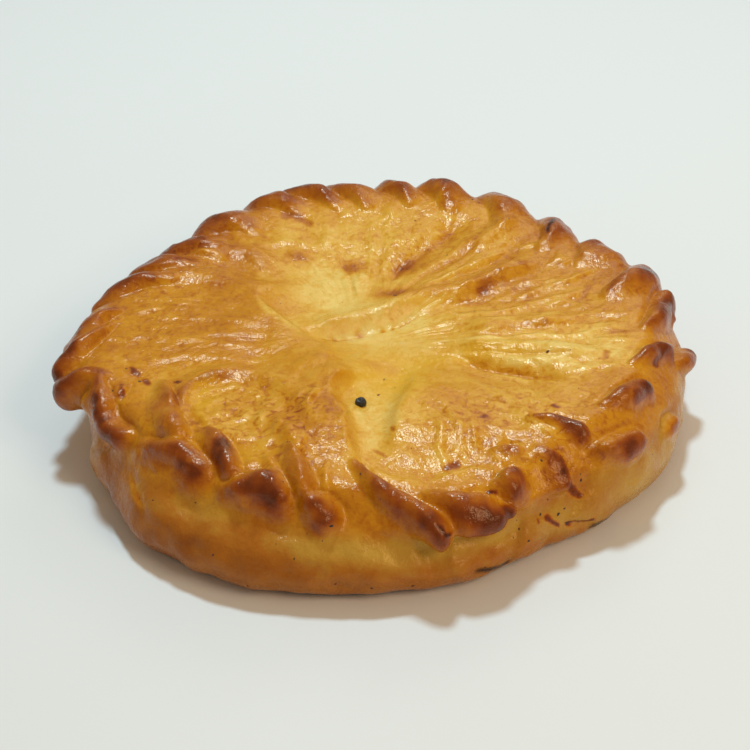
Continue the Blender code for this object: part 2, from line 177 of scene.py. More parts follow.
# %% Hang the lamps and light the room
# Each lamp has a place in metres, a width and depth, a power in watts and a colour.
LAMPS = {
    "overhead lamp": ((-0.04, 0.50, 1.50), 0.20, 0.20, 15.6, (0.62, 0.85, 0.97)),
    "panel behind": ((0.35, 1.15, 0.95), 0.70, 0.45, 1.9, (0.96, 0.96, 0.90)),
    "panel in front": ((0.80, -0.75, 0.95), 0.60, 0.60, 6.6, (1.0, 0.80, 0.57)),
}
for lamp_name, (place, width, depth, power, colour) in LAMPS.items():
    lamp_data = bpy.data.lights.new(lamp_name, "AREA")
    lamp_data.shape = "ELLIPSE" if lamp_name == "overhead lamp" else "RECTANGLE"
    lamp_data.size = width
    lamp_data.size_y = depth
    lamp_data.energy = power
    lamp_data.color = colour
    lamp = new_object(lamp_name, lamp_data)
    lamp.location = place
    lamp.rotation_mode = "QUATERNION"
    lamp.rotation_quaternion = (-Vector(place)).to_track_quat("-Z", "Y")

ROOM_BRIGHTNESS = 0.36
room = bpy.data.worlds.new("white room")
room.use_nodes = True
bpy.context.scene.world = room
tree = room.node_tree
give(tree, tree.nodes["Background"], {"Color": (1.0, 0.80, 0.58, 1.0), "Strength": ROOM_BRIGHTNESS})
print(len(LAMPS), "lamps")

# %% [markdown]
# ## The plain loaf
# Before any fold the pie is a turned loaf that wanders a little, as a hand-made one does. Its section
# runs from the middle of the lid out to the rim, in under the rim, out to the belly and in to the foot.
# A section is turned round the vertical axis with a Screw modifier, and every point keeps two facts
# that the folds need: its row of the section and its turn round the pie.

# %% How the loaf wanders round its middle
# Each table gives millimetres at a turn in degrees, counted from +X.
RIM_RADIUS = {
    0: 121.5, 12: 125, 22: 126, 35: 119.5, 47: 121, 60: 125.5, 75: 126, 90: 123.5, 105: 125.5, 122: 123.5,
    140: 117.5, 155: 119, 170: 125, 185: 128, 196: 123, 208: 117, 220: 113, 232: 111, 246: 112, 256: 111,
    264: 110, 272: 114, 281: 119, 290: 118, 298: 115, 306: 113, 316: 114, 326: 118, 336: 118, 347: 119.5,
}
RIM_HEIGHT = {
    0: 42, 45: 43.5, 90: 45, 135: 43.5, 180: 42, 205: 41, 228: 42, 248: 41, 266: 39, 282: 36, 300: 38,
    320: 41, 340: 42,
}
BELLY_RADIUS = {
    3: 128, 15: 122, 30: 117, 60: 116, 90: 117, 120: 116, 150: 112, 180: 118, 200: 123, 212: 124.8,
    225: 129.5, 240: 128.5, 255: 126.5, 275: 122.5, 290: 121.5, 303: 118, 318: 122, 330: 126, 340: 127,
    352: 128,
}
# How far the section goes in under the rim. At the front the dough was rolled smoothly over instead.
UNDERCUT = {
    0: -3.0, 22: 2.0, 60: 4.0, 120: 4.0, 170: 3.0, 195: 2.0, 210: 0.0, 230: -1.0, 245: 1.0, 256: 0.0,
    264: -1.5, 272: 1.0, 281: 3.5, 290: 3.5, 300: 0.5, 312: -1.0, 325: -1.0, 345: -3.0,
}
FULL_TURN = 2 * math.pi


def hermite(start, end, leave, arrive, share):
    """The cubic that leaves start and arrives at end with the slopes given."""
    squared = share * share
    cubed = squared * share
    return (
        (2 * cubed - 3 * squared + 1) * start
        + (cubed - 2 * squared + share) * leave
        + (3 * squared - 2 * cubed) * end
        + (cubed - squared) * arrive
    )


def ease(value, low, high):
    """From 0 at low to 1 at high, with no corner at either end."""
    share = np.clip((value - low) / (high - low), 0.0, 1.0)
    return share * share * (3 - 2 * share)


def round_the_pie(table, turn):
    """A smooth closed curve through a table's values, read at turns in radians."""
    angles = np.radians(sorted(table))
    values = np.array([table[key] for key in sorted(table)], float)
    spans = np.mod(np.roll(angles, -1) - np.roll(angles, 1), FULL_TURN)
    slopes = (np.roll(values, -1) - np.roll(values, 1)) / spans
    turn = np.mod(turn, FULL_TURN)
    ahead = np.searchsorted(angles, turn, side="right") % len(values)
    behind = ahead - 1
    span = np.mod(angles[ahead] - angles[behind], FULL_TURN)
    share = np.mod(turn - angles[behind], FULL_TURN) / span
    return hermite(values[behind], values[ahead], slopes[behind] * span, slopes[ahead] * span, share)


print("rim radius at the front:", round(float(round_the_pie(RIM_RADIUS, math.radians(270))), 1), "mm")

# %% The section of the loaf
# A row gives its distance out, as shares of the rim's radius, the belly's radius and the undercut and a
# length to add, and then its height, as a share of the rim's height and a length to add.
LID_MIDDLE = 35.0
FOOT_TUCK = 8.0
SECTION = [
    (0.00, 0.0, 0.0, 0.0, 0.00, LID_MIDDLE),
    (0.25, 0.0, 0.0, 0.0, 0.00, LID_MIDDLE + 1.2),
    (0.50, 0.0, 0.0, 0.0, 0.25, 28.0),
    (0.72, 0.0, 0.0, 0.0, 0.70, 11.0),
    (1.00, 0.0, 0.0, -23.0, 1.00, -0.6),
    (1.00, 0.0, 0.0, -9.0, 1.00, 0.0),
    (1.00, 0.0, 0.0, 0.0, 1.00, -7.5),
    (0.62, 0.38, -1.0, 0.0, 0.65, 0.0),
    (0.22, 0.78, -0.6, 0.0, 0.32, 7.0),
    (0.00, 1.0, 0.0, 0.0, 0.00, 12.0),
    (0.00, 1.0, 0.0, -2.5, 0.00, 4.5),
    (0.00, 1.0, 0.0, -FOOT_TUCK, 0.00, 0.0),
    (0.00, 0.0, 0.0, 0.0, 0.00, 0.0),
]
RIM_ROW = 6
FOOT_ROW = 11


def loaf_surface(row, turn):
    """The smooth loaf before any fold: points in millimetres, at section rows and turns."""
    rim = round_the_pie(RIM_RADIUS, turn)
    height = round_the_pie(RIM_HEIGHT, turn)
    belly = round_the_pie(BELLY_RADIUS, turn)
    undercut = round_the_pie(UNDERCUT, turn)
    distances = np.array([a * rim + b * belly + c * undercut + d for a, b, c, d, _, _ in SECTION])
    heights = np.array([share * height + more for _, _, _, _, share, more in SECTION])
    low = np.clip(np.floor(row).astype(int), 0, FOOT_ROW)
    share = row - low
    place = np.arange(len(turn))

    def along_section(values):
        def at(index):
            return values[np.clip(index, 0, FOOT_ROW + 1), place]

        leave = (at(low + 1) - at(low - 1)) / 2
        arrive = (at(low + 2) - at(low)) / 2
        curved = hermite(at(low), at(low + 1), leave, arrive, share)
        straight = at(low) * (1 - share) + at(low + 1) * share
        return np.where(low < FOOT_ROW - 1, curved, straight)

    radius = along_section(distances)
    return np.stack([radius * np.cos(turn), radius * np.sin(turn), along_section(heights)], axis=-1)


def loaf_normals(row, turn):
    """Unit normals of the smooth loaf, from small steps of the row and the way round."""
    step = 0.02
    along = loaf_surface(np.minimum(row + step, FOOT_ROW), turn) - loaf_surface(row - step, turn)
    across = np.stack([-np.sin(turn), np.cos(turn), np.zeros_like(turn)], axis=-1)
    normal = np.cross(along, across)
    return normal / np.maximum(np.linalg.norm(normal, axis=1, keepdims=True), 1e-9)


def section_reach(row_count=601, degrees_apart=10):
    """Rows of the section, and how far along its mean outline each lies from the rim's tip."""
    rows = np.linspace(0, FOOT_ROW + 1, row_count)
    outline = np.zeros((len(rows), 2))
    turns = np.radians(range(0, 360, degrees_apart))
    for turn in turns:
        points = loaf_surface(rows, np.full(len(rows), turn))
        outline[:, 0] += np.hypot(points[:, 0], points[:, 1]) / len(turns)
        outline[:, 1] += points[:, 2] / len(turns)
    lengths = np.linalg.norm(np.diff(outline, axis=0), axis=1)
    reach = np.concatenate([[0.0], np.cumsum(lengths)])
    return rows, reach - np.interp(RIM_ROW, rows, reach)


REACH_ROWS, REACH_VALUES = section_reach()
MEAN_RIM = sum(RIM_RADIUS.values()) / len(RIM_RADIUS)
print("mean rim radius:", round(MEAN_RIM, 1), "mm")

# %% [markdown]
# ## Uneven dough
# Dough is never even. A lattice of random values, read with smooth steps between its corners, gives
# soft lumps of any size. The same lattice read on stretched places gives the long gathers that run
# over the lid. The random values are seeded, so the pie is the same each time.

# %% Lumps of any size
LATTICE = 32


def cloud(places, seed):
    """Smooth random values from -1 to 1 that change over a distance of about 1."""
    lattice = np.random.default_rng(seed).uniform(-1, 1, (LATTICE, LATTICE, LATTICE))
    low = np.floor(places).astype(int)
    share = places - low
    share = share * share * (3 - 2 * share)
    total = np.zeros(len(places))
    for corner in itertools.product((0, 1), repeat=3):
        weight = np.prod(np.where(corner, share, 1 - share), axis=1)
        index = (low + corner) % LATTICE
        total += weight * lattice[index[:, 0], index[:, 1], index[:, 2]]
    return total


print("a few lumps:", np.round(cloud(np.array([[0.5, 0.5, 0.5], [7.2, 1.1, 3.4]]), 1), 2).tolist())

# %% [markdown]
# ## The crimps
# A crimp is a finger of dough, pulled up from the edge and folded over its neighbour. Seen from above
# it runs in a slight curve from a narrow root on the lid to a fat tip over the rim, and all of them
# lean the same way. Each is a long dome round a curved line. One side is steep, where the finger was
# pinched against the next, and the other is soft. Where two meet, they blend into the higher one.

# %% Distance to a curved line
SPAN_SHARES = (0.2, 0.4, 0.6, 0.8, 1.0)


def smooth_line(places):
    """Places close together on a curve through the places given."""
    given = np.array(places, float)
    line = [given[0]]
    ends = np.vstack([2 * given[0] - given[1], given, 2 * given[-1] - given[-2]])
    for k in range(1, len(ends) - 2):
        leave = (ends[k + 1] - ends[k - 1]) / 2
        arrive = (ends[k + 2] - ends[k]) / 2
        line += [hermite(ends[k], ends[k + 1], leave, arrive, share) for share in SPAN_SHARES]
    return np.array(line)


def near_line(x, y, places):
    """Distance to a line, the side of it from -1 to 1, and the share along it, for every place."""
    line = smooth_line(places)
    nearest = np.full(len(x), np.inf)
    side = np.zeros(len(x))
    share_along = np.zeros(len(x))
    for k in range(len(line) - 1):
        step = line[k + 1] - line[k]
        squared = step @ step
        raw = ((x - line[k][0]) * step[0] + (y - line[k][1]) * step[1]) / squared
        share = np.clip(raw, 0.0, 1.0)
        off_x = x - line[k][0] - share * step[0]
        off_y = y - line[k][1] - share * step[1]
        distance = np.hypot(off_x, off_y)
        closer = distance < nearest
        nearest = np.where(closer, distance, nearest)
        turned = (step[0] * off_y - step[1] * off_x) / (math.sqrt(squared) * distance + 1e-9)
        side = np.where(closer, turned, side)
        share_along = np.where(closer, (k + share) / (len(line) - 1), share_along)
    return nearest, side, share_along


print("a curve through three places has", len(smooth_line([(0, 0), (1, 1), (2, 0)])), "places")

# %% The fingers of the crimped rim
# A line of turns in degrees and reaches, then half width, height and how brown it baked. Reach is in
# millimetres along the section from the rim's tip, less than nothing on the lid.
FRONT_CRIMPS = [
    ([(171, -18), (174, -14), (178, -11), (181, -6)], 6.0, 3.6, 0.66),
    ([(177, -19), (182, -13), (185, -7), (187, -1)], 6.4, 4.4, 0.80),
    ([(195, -12), (193, -4), (192, 3)], 6.4, 5.4, 0.84),
    ([(194, -12), (199, -8), (203, -5), (207, -2), (211, -1)], 5.2, 4.6, 0.76),
    ([(199, -19), (201, -14), (203, -8)], 2.6, 1.4, 0.50),
    ([(202, -32), (206, -28), (211, -23), (217, -17), (222, -13)], 5.4, 3.6, 0.50),
    ([(217, -1), (222, -4), (227, -6), (232, -3)], 7.0, 3.8, 0.73),
    ([(226, -20), (230, -18), (234, -15), (238, -11)], 5.2, 4.0, 0.85),
    ([(239, -1), (242, -5), (246, -7), (250, -4)], 7.0, 4.0, 0.76),
    ([(244, -20), (248, -12), (251, -7)], 3.2, 1.8, 0.30),
    ([(247, -27), (251, -19), (255, -11)], 5.6, 3.2, 0.50),
    ([(256, -8), (260, 0)], 6.0, 4.2, 0.80),
    ([(265, -22), (269, -16), (272, -12), (275, -9), (278, -5), (280, -2)], 6.6, 5.0, 0.76),
    ([(281, -14), (285, -8), (288, -4), (290, 0)], 7.2, 4.6, 0.78),
    ([(291, -3), (294, 0)], 3.6, 2.4, 0.84),
    ([(293, -10), (297, -9)], 6.6, 4.0, 0.80),
    ([(306, -14), (307, -7), (307, 2)], 5.4, 2.2, 0.74),
    ([(298, -26), (302, -20)], 3.6, 1.4, 0.62),
    ([(312, -27), (315, -19), (316, -12)], 5.0, 3.6, 0.80),
    ([(316, -3), (320, 0), (324, 1)], 5.2, 4.0, 0.78),
    ([(326, -15), (331, -11.5), (336, -7)], 5.2, 4.0, 0.78),
    ([(333, 11), (338, 11)], 4.2, 2.6, 0.64),
    ([(343, -15), (348, -10), (351, -4)], 5.0, 4.2, 0.82),
    ([(352, 4), (357, 8)], 4.2, 4.2, 0.76),
    ([(357, -13), (362, -8), (370, -2)], 5.4, 4.2, 0.80),
    ([(366, 3), (369, 2)], 3.6, 2.8, 0.72),
]
# Round the back each crimp crosses the rim at one of these turns: half width, height and browning.
BACK_CRIMPS = {
    17: (10.0, 4.2, 0.70), 31: (9.0, 3.0, 0.60), 44: (9.0, 3.6, 0.64), 60: (11.0, 3.6, 0.66),
    75: (10.0, 4.8, 0.75), 85: (8.0, 3.6, 0.77), 96: (10.0, 3.4, 0.75), 105: (8.5, 4.2, 0.82),
    114: (9.0, 3.4, 0.77), 128: (10.0, 3.4, 0.81), 140: (9.0, 3.0, 0.74), 151: (9.0, 3.0, 0.75),
    161: (9.0, 3.4, 0.78),
}
# A back crimp's line, as steps in turn and reach from where it crosses the rim.
BACK_CRIMP_LINE = [(-5.0, -24.0), (-2.5, -14.0), (0.5, -6.0), (2.5, 1.0)]
CRIMP_STEEP_SIDE = 0.9
CRIMP_GENTLE_SIDE = 1.65
CRIMP_CRISPNESS = 1.0
CRIMP_SOFTNESS = 1.9
CRIMP_BLEND = 4.0
# At its root a crimp is this share of its width. It is fully wide and fully high these shares along.
CRIMP_ROOT_NARROWNESS = 0.6
CRIMP_WIDE_FROM = 0.6
CRIMP_RISES = (-0.3, 0.4)
# It browned from its crest outwards, for its half width, and more towards its tip.
BROWN_REACHES = (0.0, 1.6)
BROWN_AT_ROOT = 0.66
BROWN_RISES = (-0.1, 0.8)
# Over the rim a crimp also leans down and is pushed outwards, by these shares of its height.
CRIMP_LEAN = 0.10
CRIMP_PUSH = 0.34
LEAN_STARTS = -14.0
LEAN_WHOLE = 0.0
# On its steep side a crimp sinks into its neighbour: how deep, and where and how wide for its half width.
# Where the crimps stand this high, in millimetres, the pinch fades out.
PINCH_DEPTH = 0.9
PINCH_AT = 1.05
PINCH_WIDTH = 0.34
PINCH_FADES = (1.5, 4.0)


def unrolled(turn, line):
    """Millimetres round the rim from a line's first turn, and the line in such millimetres."""
    first_turn = math.radians(line[0][0])
    round_way = (np.mod(turn - first_turn + math.pi, FULL_TURN) - math.pi) * MEAN_RIM
    return round_way, [((math.radians(a) - first_turn) * MEAN_RIM, b) for a, b in line]


def all_crimps():
    """The front crimps and, round the back, one for each turn of the table."""
    crimps = list(FRONT_CRIMPS)
    for turn, (half_width, height, baked) in BACK_CRIMPS.items():
        line = [(turn + step_turn, step_reach) for step_turn, step_reach in BACK_CRIMP_LINE]
        crimps.append((line, half_width, height, baked))
    return crimps


def crimp_relief(reach, turn):
    """How far the crimps stand out of the loaf, their pinched edges and how brown they are."""
    powers = np.zeros_like(reach)
    pinched = np.zeros_like(reach)
    browned = np.zeros_like(reach)
    for line, half_width, height, baked in all_crimps():
        round_way, places = unrolled(turn, line)
        widest = half_width * CRIMP_GENTLE_SIDE * BROWN_REACHES[1]
        low = np.min(places, axis=0) - widest
        high = np.max(places, axis=0) + widest
        near = (round_way > low[0]) & (round_way < high[0]) & (reach > low[1]) & (reach < high[1])
        distance, side, along = near_line(round_way[near], reach[near], places)
        gentle = 0.5 + 0.5 * side
        sided = CRIMP_STEEP_SIDE + (CRIMP_GENTLE_SIDE - CRIMP_STEEP_SIDE) * gentle
        swelling = CRIMP_ROOT_NARROWNESS + (1 - CRIMP_ROOT_NARROWNESS) * ease(along, 0.0, CRIMP_WIDE_FROM)
        share = distance / (half_width * sided * swelling)
        softness = CRIMP_CRISPNESS + (CRIMP_SOFTNESS - CRIMP_CRISPNESS) * gentle
        dome = np.maximum(1 - share ** 2, 0.0) ** softness
        risen = ease(along, *CRIMP_RISES)
        powers[near] += (height * risen * dome) ** CRIMP_BLEND
        edge = np.exp(-(((share - PINCH_AT) / PINCH_WIDTH) ** 2)) * (1 - gentle) ** 2 * risen
        pinched[near] = np.maximum(pinched[near], edge)
        baked_here = baked * (1 - ease(share, *BROWN_REACHES))
        baked_here *= BROWN_AT_ROOT + (1 - BROWN_AT_ROOT) * ease(along, *BROWN_RISES)
        browned[near] = np.maximum(browned[near], baked_here)
    crimps = powers ** (1 / CRIMP_BLEND)
    return crimps, -PINCH_DEPTH * pinched * (1 - ease(crimps, *PINCH_FADES)), browned


print(len(all_crimps()), "crimps round the rim")

# %% [markdown]
# ## The folds of the lid
# The lid was gathered by hand towards the middle, so it carries long low folds, one deep crease behind
# the middle, a curl of fine wrinkles at the front left and a hollow where the butter ran. Each fold is
# a line seen from above with a height and a fall on either side, so that one side can be steep and the
# other soft, as where one layer of dough lies on another.

# %% Folds along lines
# A fold fades out over its ends: from and to these shares of its length.
FOLD_FADES = (-0.15, 0.2)


def fold_relief(x, y, places, left_fall, right_fall, height):
    """One fold: highest along its line, and falling away on each side."""
    reached = 3 * max(left_fall, right_fall)
    given = np.array(places, float)
    low, high = given.min(axis=0) - reached, given.max(axis=0) + reached
    near = (x > low[0]) & (x < high[0]) & (y > low[1]) & (y < high[1])
    relief = np.zeros(len(x))
    nearest, side, share_along = near_line(x[near], y[near], places)
    fall = right_fall + (left_fall - right_fall) * (0.5 + 0.5 * side)
    fade = ease(share_along, *FOLD_FADES) * ease(1 - share_along, *FOLD_FADES)
    relief[near] = height * fade * np.exp(-((nearest / fall) ** 2))
    return relief


def folds_at(x, y, folds):
    """The sum of many folds, each given as a line, its two falls and its height."""
    return sum(fold_relief(x, y, *fold) for fold in folds)


print("one fold, on its line:", fold_relief(np.zeros(1), np.zeros(1), [(-9, 0), (9, 0)], 2, 3, 1.0))

# %% The folds, swellings and wrinkles
# Folds: a line of places, how far each falls away on its left and on its right, and its height.
LID_FOLDS = [
    ([(-50, 24), (-40, 10), (-30, -1), (-22, -9), (-14, -16)], 3.0, 24.0, 4.4),
    ([(-97, 44), (-80, 47), (-65, 42), (-50, 35), (-40, 30)], 7.0, 9.0, 3.0),
    ([(-80, 69), (-70, 65), (-55, 65), (-47, 56)], 6.0, 6.0, 2.8),
    ([(-24, 4), (-10, 8), (0, 11), (18, 17)], 2.0, 4.5, -3.4),
    ([(-24, 9), (-8, 14), (2, 17), (20, 25)], 7.0, 2.6, 4.6),
    ([(-8, -27), (-17, -34), (-19, -46), (-14, -60), (-12, -84)], 3.5, 16.0, 5.0),
    ([(16, -34), (13, -44), (9, -56), (6, -76)], 18.0, 3.5, 4.4),
    ([(-79, -58), (-76, -40), (-68, -30), (-55, -27), (-42, -33), (-30, -48)], 5.0, 5.0, 2.8),
    ([(33, -18), (45, -25), (57, -30), (72, -38)], 3.0, 3.0, -3.0),
    ([(34, -8), (60, -16), (84, -23)], 6.0, 5.0, 3.2),
    ([(38, 5), (57, 3), (80, 6)], 5.0, 5.0, 2.8),
    ([(10, 28), (36, 33), (50, 40), (70, 48)], 6.0, 5.0, 3.4),
    ([(42, 64), (66, 84)], 6.0, 6.0, 2.6),
    ([(5, 48), (28, 72), (40, 86)], 6.0, 6.0, -2.6),
    ([(-30, -90), (-34, -72), (-42, -58)], 4.0, 4.0, 2.4),
]
# Broad swellings and hollows: middle, half lengths along x and y, and height.
LID_SWELLINGS = [
    (-74, 8, 44, 34, 2.6),
    (44, -66, 32, 30, 3.4),
    (8, -30, 16, 16, -1.6),
    (-30, -66, 16, 22, 1.6),
    (-5, 62, 26, 20, -1.4),
]
# Thin wrinkles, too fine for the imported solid, with a line, falls and a height like the folds.
WRINKLES = [
    ([(-70, -44), (-62, -38), (-52, -38), (-44, -46)], 1.6, 1.6, 0.7),
    ([(-68, -52), (-60, -46), (-52, -48)], 1.6, 1.6, 0.7),
    ([(-66, -60), (-58, -56), (-50, -58), (-42, -66)], 1.6, 1.6, 0.6),
    ([(-73, -48), (-70, -62), (-62, -70)], 1.8, 1.8, -0.8),
    ([(-108, 30), (-92, 26), (-74, 27), (-58, 22)], 1.8, 1.8, 0.5),
    ([(-112, 14), (-90, 12), (-66, 10), (-48, 4)], 1.6, 1.6, 0.45),
    ([(-114, -4), (-92, -2), (-70, -6), (-50, -10)], 1.6, 1.6, 0.5),
    ([(-100, -22), (-80, -16), (-58, -17), (-40, -18)], 1.6, 1.6, 0.5),
    ([(-60, 76), (-48, 72), (-36, 74), (-26, 70)], 2.0, 2.0, 0.7),
    ([(22, -4), (44, -7), (66, -8)], 1.8, 1.8, 0.8),
    ([(26, 14), (48, 14), (72, 20), (90, 24)], 2.2, 2.2, 0.9),
    ([(20, 36), (38, 46), (58, 60)], 2.4, 2.4, 1.0),
    ([(60, 24), (78, 30), (96, 40)], 2.0, 2.0, 0.8),
    ([(58, -6), (80, -8), (98, -4)], 1.8, 1.8, 0.8),
    ([(64, -26), (82, -32), (96, -34)], 1.8, 1.8, 0.7),
    ([(24, -50), (30, -66), (30, -84)], 2.2, 2.2, 0.7),
    ([(44, -44), (54, -58), (60, -76)], 2.4, 2.4, 0.7),
    ([(-4, -88), (4, -96), (14, -100)], 1.8, 1.8, 0.7),
    ([(20, -96), (32, -92), (44, -94)], 1.8, 1.8, 0.8),
    ([(-34, -52), (-28, -46), (-20, -48)], 1.6, 1.6, 0.6),
]
# The folds are whole this far in from the rim's tip, and gone where there are only crimps.
FOLDS_WHOLE = 26.0
CRIMPS_ONLY = 2.0
# The lid was gathered towards this place.
GATHERING_POINT = (-12.0, 5.0)
print(len(LID_FOLDS), "folds and", len(WRINKLES), "wrinkles of the lid have places of their own")

# %% Fine wrinkles
# Where they crowd: middle, half lengths along x and y, and how many of the tries stay.
CROWDED = [
    (62, 8, 44, 34, 1.0), (20, 62, 50, 30, 0.7), (44, -66, 34, 30, 0.9), (-30, -66, 18, 24, 0.8),
    (-70, 56, 34, 24, 0.5), (-80, 0, 40, 34, 0.3),
]
WRINKLE_TRIES = 460
# How far out they start, and the share of that circle's area that stays free in the middle.
WRINKLES_REACH = 105.0
WRINKLES_FREE = 0.08
# Shortest and longest wrinkle, how far its direction may stray, and its sides and height.
WRINKLE_LENGTHS = (7.0, 20.0)
WRINKLE_STRAYS = 0.55
WRINKLE_BENDS = 0.30
WRINKLE_STEEP_SIDES = (0.7, 1.2)
WRINKLE_SOFT_SIDES = (1.4, 3.0)
WRINKLE_HEIGHTS = (0.15, 0.75)
# A curl of dough at the front left: arcs of these radii, stretched along x and y. Each next arc drifts
# off the middle, starts further round and is lower. An arc has so many places, so many degrees apart.
CURL_MIDDLE = (-54.0, -56.0)
CURL_DRIFT = (0.5, -0.7)
CURL_STRETCH = (1.15, 0.9)
CURL_RADII = (4.0, 7.0, 12.0, 15.0, 21.0)
CURL_STARTS = (20.0, 67.0)
CURL_STEP = 24.0
CURL_PLACES = 6
CURL_SIDES = (1.2, 2.4)
CURL_HEIGHTS = (0.6, -0.06)


def patches_at(x, y, patches):
    """The sum of soft round patches at each place."""
    total = np.zeros(len(x))
    for middle_x, middle_y, half_x, half_y, amount in patches:
        total += amount * np.exp(-(((x - middle_x) / half_x) ** 2 + ((y - middle_y) / half_y) ** 2))
    return total


def scattered_wrinkles():
    """Short curved lines that run out from the gathering point, thick where the dough is crowded."""
    chance = np.random.default_rng(51)
    found = []
    for _ in range(WRINKLE_TRIES):
        bearing = chance.uniform(0, FULL_TURN)
        distance = WRINKLES_REACH * math.sqrt(chance.uniform(WRINKLES_FREE, 1.0))
        stray = chance.uniform(-WRINKLE_STRAYS, WRINKLE_STRAYS)
        bend = chance.uniform(-WRINKLE_BENDS, WRINKLE_BENDS)
        length = chance.uniform(*WRINKLE_LENGTHS)
        steep = chance.uniform(*WRINKLE_STEEP_SIDES)
        soft = chance.uniform(*WRINKLE_SOFT_SIDES)
        height = chance.uniform(*WRINKLE_HEIGHTS)
        kept = chance.uniform()
        x = GATHERING_POINT[0] + distance * math.cos(bearing)
        y = GATHERING_POINT[1] + distance * math.sin(bearing)
        if kept > patches_at(np.array([x]), np.array([y]), CROWDED)[0]:
            continue
        line = [(x, y)]
        for bent in (-1, 0, 1):
            heading = bearing + stray + bend * bent
            x += length / 3 * math.cos(heading)
            y += length / 3 * math.sin(heading)
            line.append((x, y))
        found.append((line, steep, soft, height))
    return found


def curl_wrinkles():
    """The arcs of the curl, each a little lower than the one inside it."""
    found = []
    for number, radius in enumerate(CURL_RADII):
        start = CURL_STARTS[0] + CURL_STARTS[1] * number
        turns = np.radians(start + CURL_STEP * np.arange(CURL_PLACES))
        line_x = CURL_MIDDLE[0] + CURL_DRIFT[0] * number + CURL_STRETCH[0] * radius * np.cos(turns)
        line_y = CURL_MIDDLE[1] + CURL_DRIFT[1] * number + CURL_STRETCH[1] * radius * np.sin(turns)
        found.append((list(zip(line_x, line_y)), *CURL_SIDES, CURL_HEIGHTS[0] + CURL_HEIGHTS[1] * number))
    return found


ALL_WRINKLES = WRINKLES + scattered_wrinkles() + curl_wrinkles()
print(len(ALL_WRINKLES), "wrinkles on the lid")

# %% Add up the relief of the lid
# A swelling falls off this fast, and the wrinkles fade out over this many millimetres.
SWELLING_FALL = 1.5
WRINKLES_FADE = 12.0


def lid_relief(x, y, reach):
    """The lid's folds and swellings, fading out before the crimps."""
    relief = np.zeros_like(x)
    for middle_x, middle_y, half_x, half_y, height in LID_SWELLINGS:
        share = ((x - middle_x) / half_x) ** 2 + ((y - middle_y) / half_y) ** 2
        relief += height * np.exp(-SWELLING_FALL * share)
    return (relief + folds_at(x, y, LID_FOLDS)) * ease(-reach, CRIMPS_ONLY, FOLDS_WHOLE)


def wrinkle_relief(x, y, reach):
    """The lid's wrinkles, which end just before the crimps."""
    return folds_at(x, y, ALL_WRINKLES) * ease(-reach, 0.0, WRINKLES_FADE)


in_crease = lid_relief(np.array([-10.0]), np.array([8.0]), np.array([-FOLDS_WHOLE]))
print("in the deep crease the lid's relief is", round(float(in_crease[0]), 1), "mm")

# %% The creases of the wall
# The wall was stretched when it was drawn up, and at the right a flap of dough laps over its neighbour.
# A line of turns and reaches, a fall on its left and on its right, and a height.
WALL_FOLDS = [
    ([(201.5, 19), (206, 10), (210, 4)], 1.2, 1.8, -0.9),
    ([(217, 8), (221, 10.5), (225, 14)], 1.3, 2.4, -0.7),
    ([(234, 11), (236.5, 16), (238, 20)], 4.0, 4.0, -0.8),
    ([(317.5, -8), (316, 0), (312.8, 10), (307, 21)], 1.6, 16.0, 2.0),
    ([(298, 9), (296, 20), (294.5, 30)], 1.6, 13.0, 1.8),
    ([(305.6, 21), (308, 23), (311.5, 26)], 1.2, 1.2, -1.8),
    ([(288, 16), (296, 13), (303, 11)], 4.0, 4.0, -1.2),
    ([(262, 12), (272, 11), (282, 14)], 5.0, 5.0, -0.9),
    ([(325, 8), (338, 14), (350, 16)], 5.0, 5.0, -0.8),
    ([(276, 9), (277.5, 15), (278.5, 25)], 1.2, 6.0, -1.3),
    ([(283, 10), (282, 18), (284, 27)], 1.4, 7.0, 1.1),
    ([(247, 5), (251, 7), (256, 8)], 1.4, 4.0, -0.9),
    ([(227, 7), (232, 8.5), (238, 8)], 1.6, 5.0, -0.8),
]


def wall_relief(reach, turn):
    """The creases and flaps of the wall."""
    relief = np.zeros_like(reach)
    for line, *falls_and_height in WALL_FOLDS:
        round_way, places = unrolled(turn, line)
        relief += fold_relief(round_way, reach, places, *falls_and_height)
    return relief


print(len(WALL_FOLDS), "creases and flaps on the wall")

# %% [markdown]
# ## The whole crust
# The crust adds all of this up: the loaf, the crimps, the lid's folds and the uneven dough. Before the
# crimps are read, their places are pushed about by a millimetre or two, so that no finger has a ruled
# edge. Gathers run out from the middle of the lid, and the crimps and the wall have lumps of their own.

# %% Work out the crust's surface
# Places wander before they are read: over what distance, how far in millimetres, and two seeds.
EDGE_WANDER = (13.0, 1.5, (31, 32))
GATHER_WANDER = (34.0, 7.0, (33, 34))
WRINKLE_WANDER = (7.0, 1.6, (35, 36))
# Size of the lumps and how high they stand, in millimetres, and a seed for each size.
LUMPS = [(26.0, 1.0, 11), (12.0, 0.6, 12), (5.0, 0.26, 13)]
# Width, width again and length of the gathers, how high they stand and a seed.
GATHERS = [((7.0, 7.0, 40.0), 0.45, 21), ((3.0, 3.0, 24.0), 0.16, 22)]
# Lumps that only the crimps have, from the fingers that made them.
CRIMP_LUMPS = [(8.0, 1.1, 14), (4.0, 0.5, 15), (2.2, 0.16, 16)]
# Dents and lumps that only the wall has, from the hands that turned the loaf.
WALL_LUMPS = [(17.0, 1.1, 17), (9.0, 0.8, 18), (4.0, 0.22, 19)]
# In millimetres: the height over which relief grows from the flat foot, the reach where the wall's dents
# start, and how high a crimp is where it has lumps of its own or no dents of the wall.
ABOVE_FOOT = 6.0
WALL_STARTS = (2.0, 9.0)
CRIMP_HAS_LUMPS = (0.5, 3.5)
CRIMP_HAS_NO_DENTS = (0.3, 2.0)
# The gathers grow out from the gathering point and fade out before the rim.
GATHERS_START = (8.0, 45.0)
GATHERS_FADE = 14.0
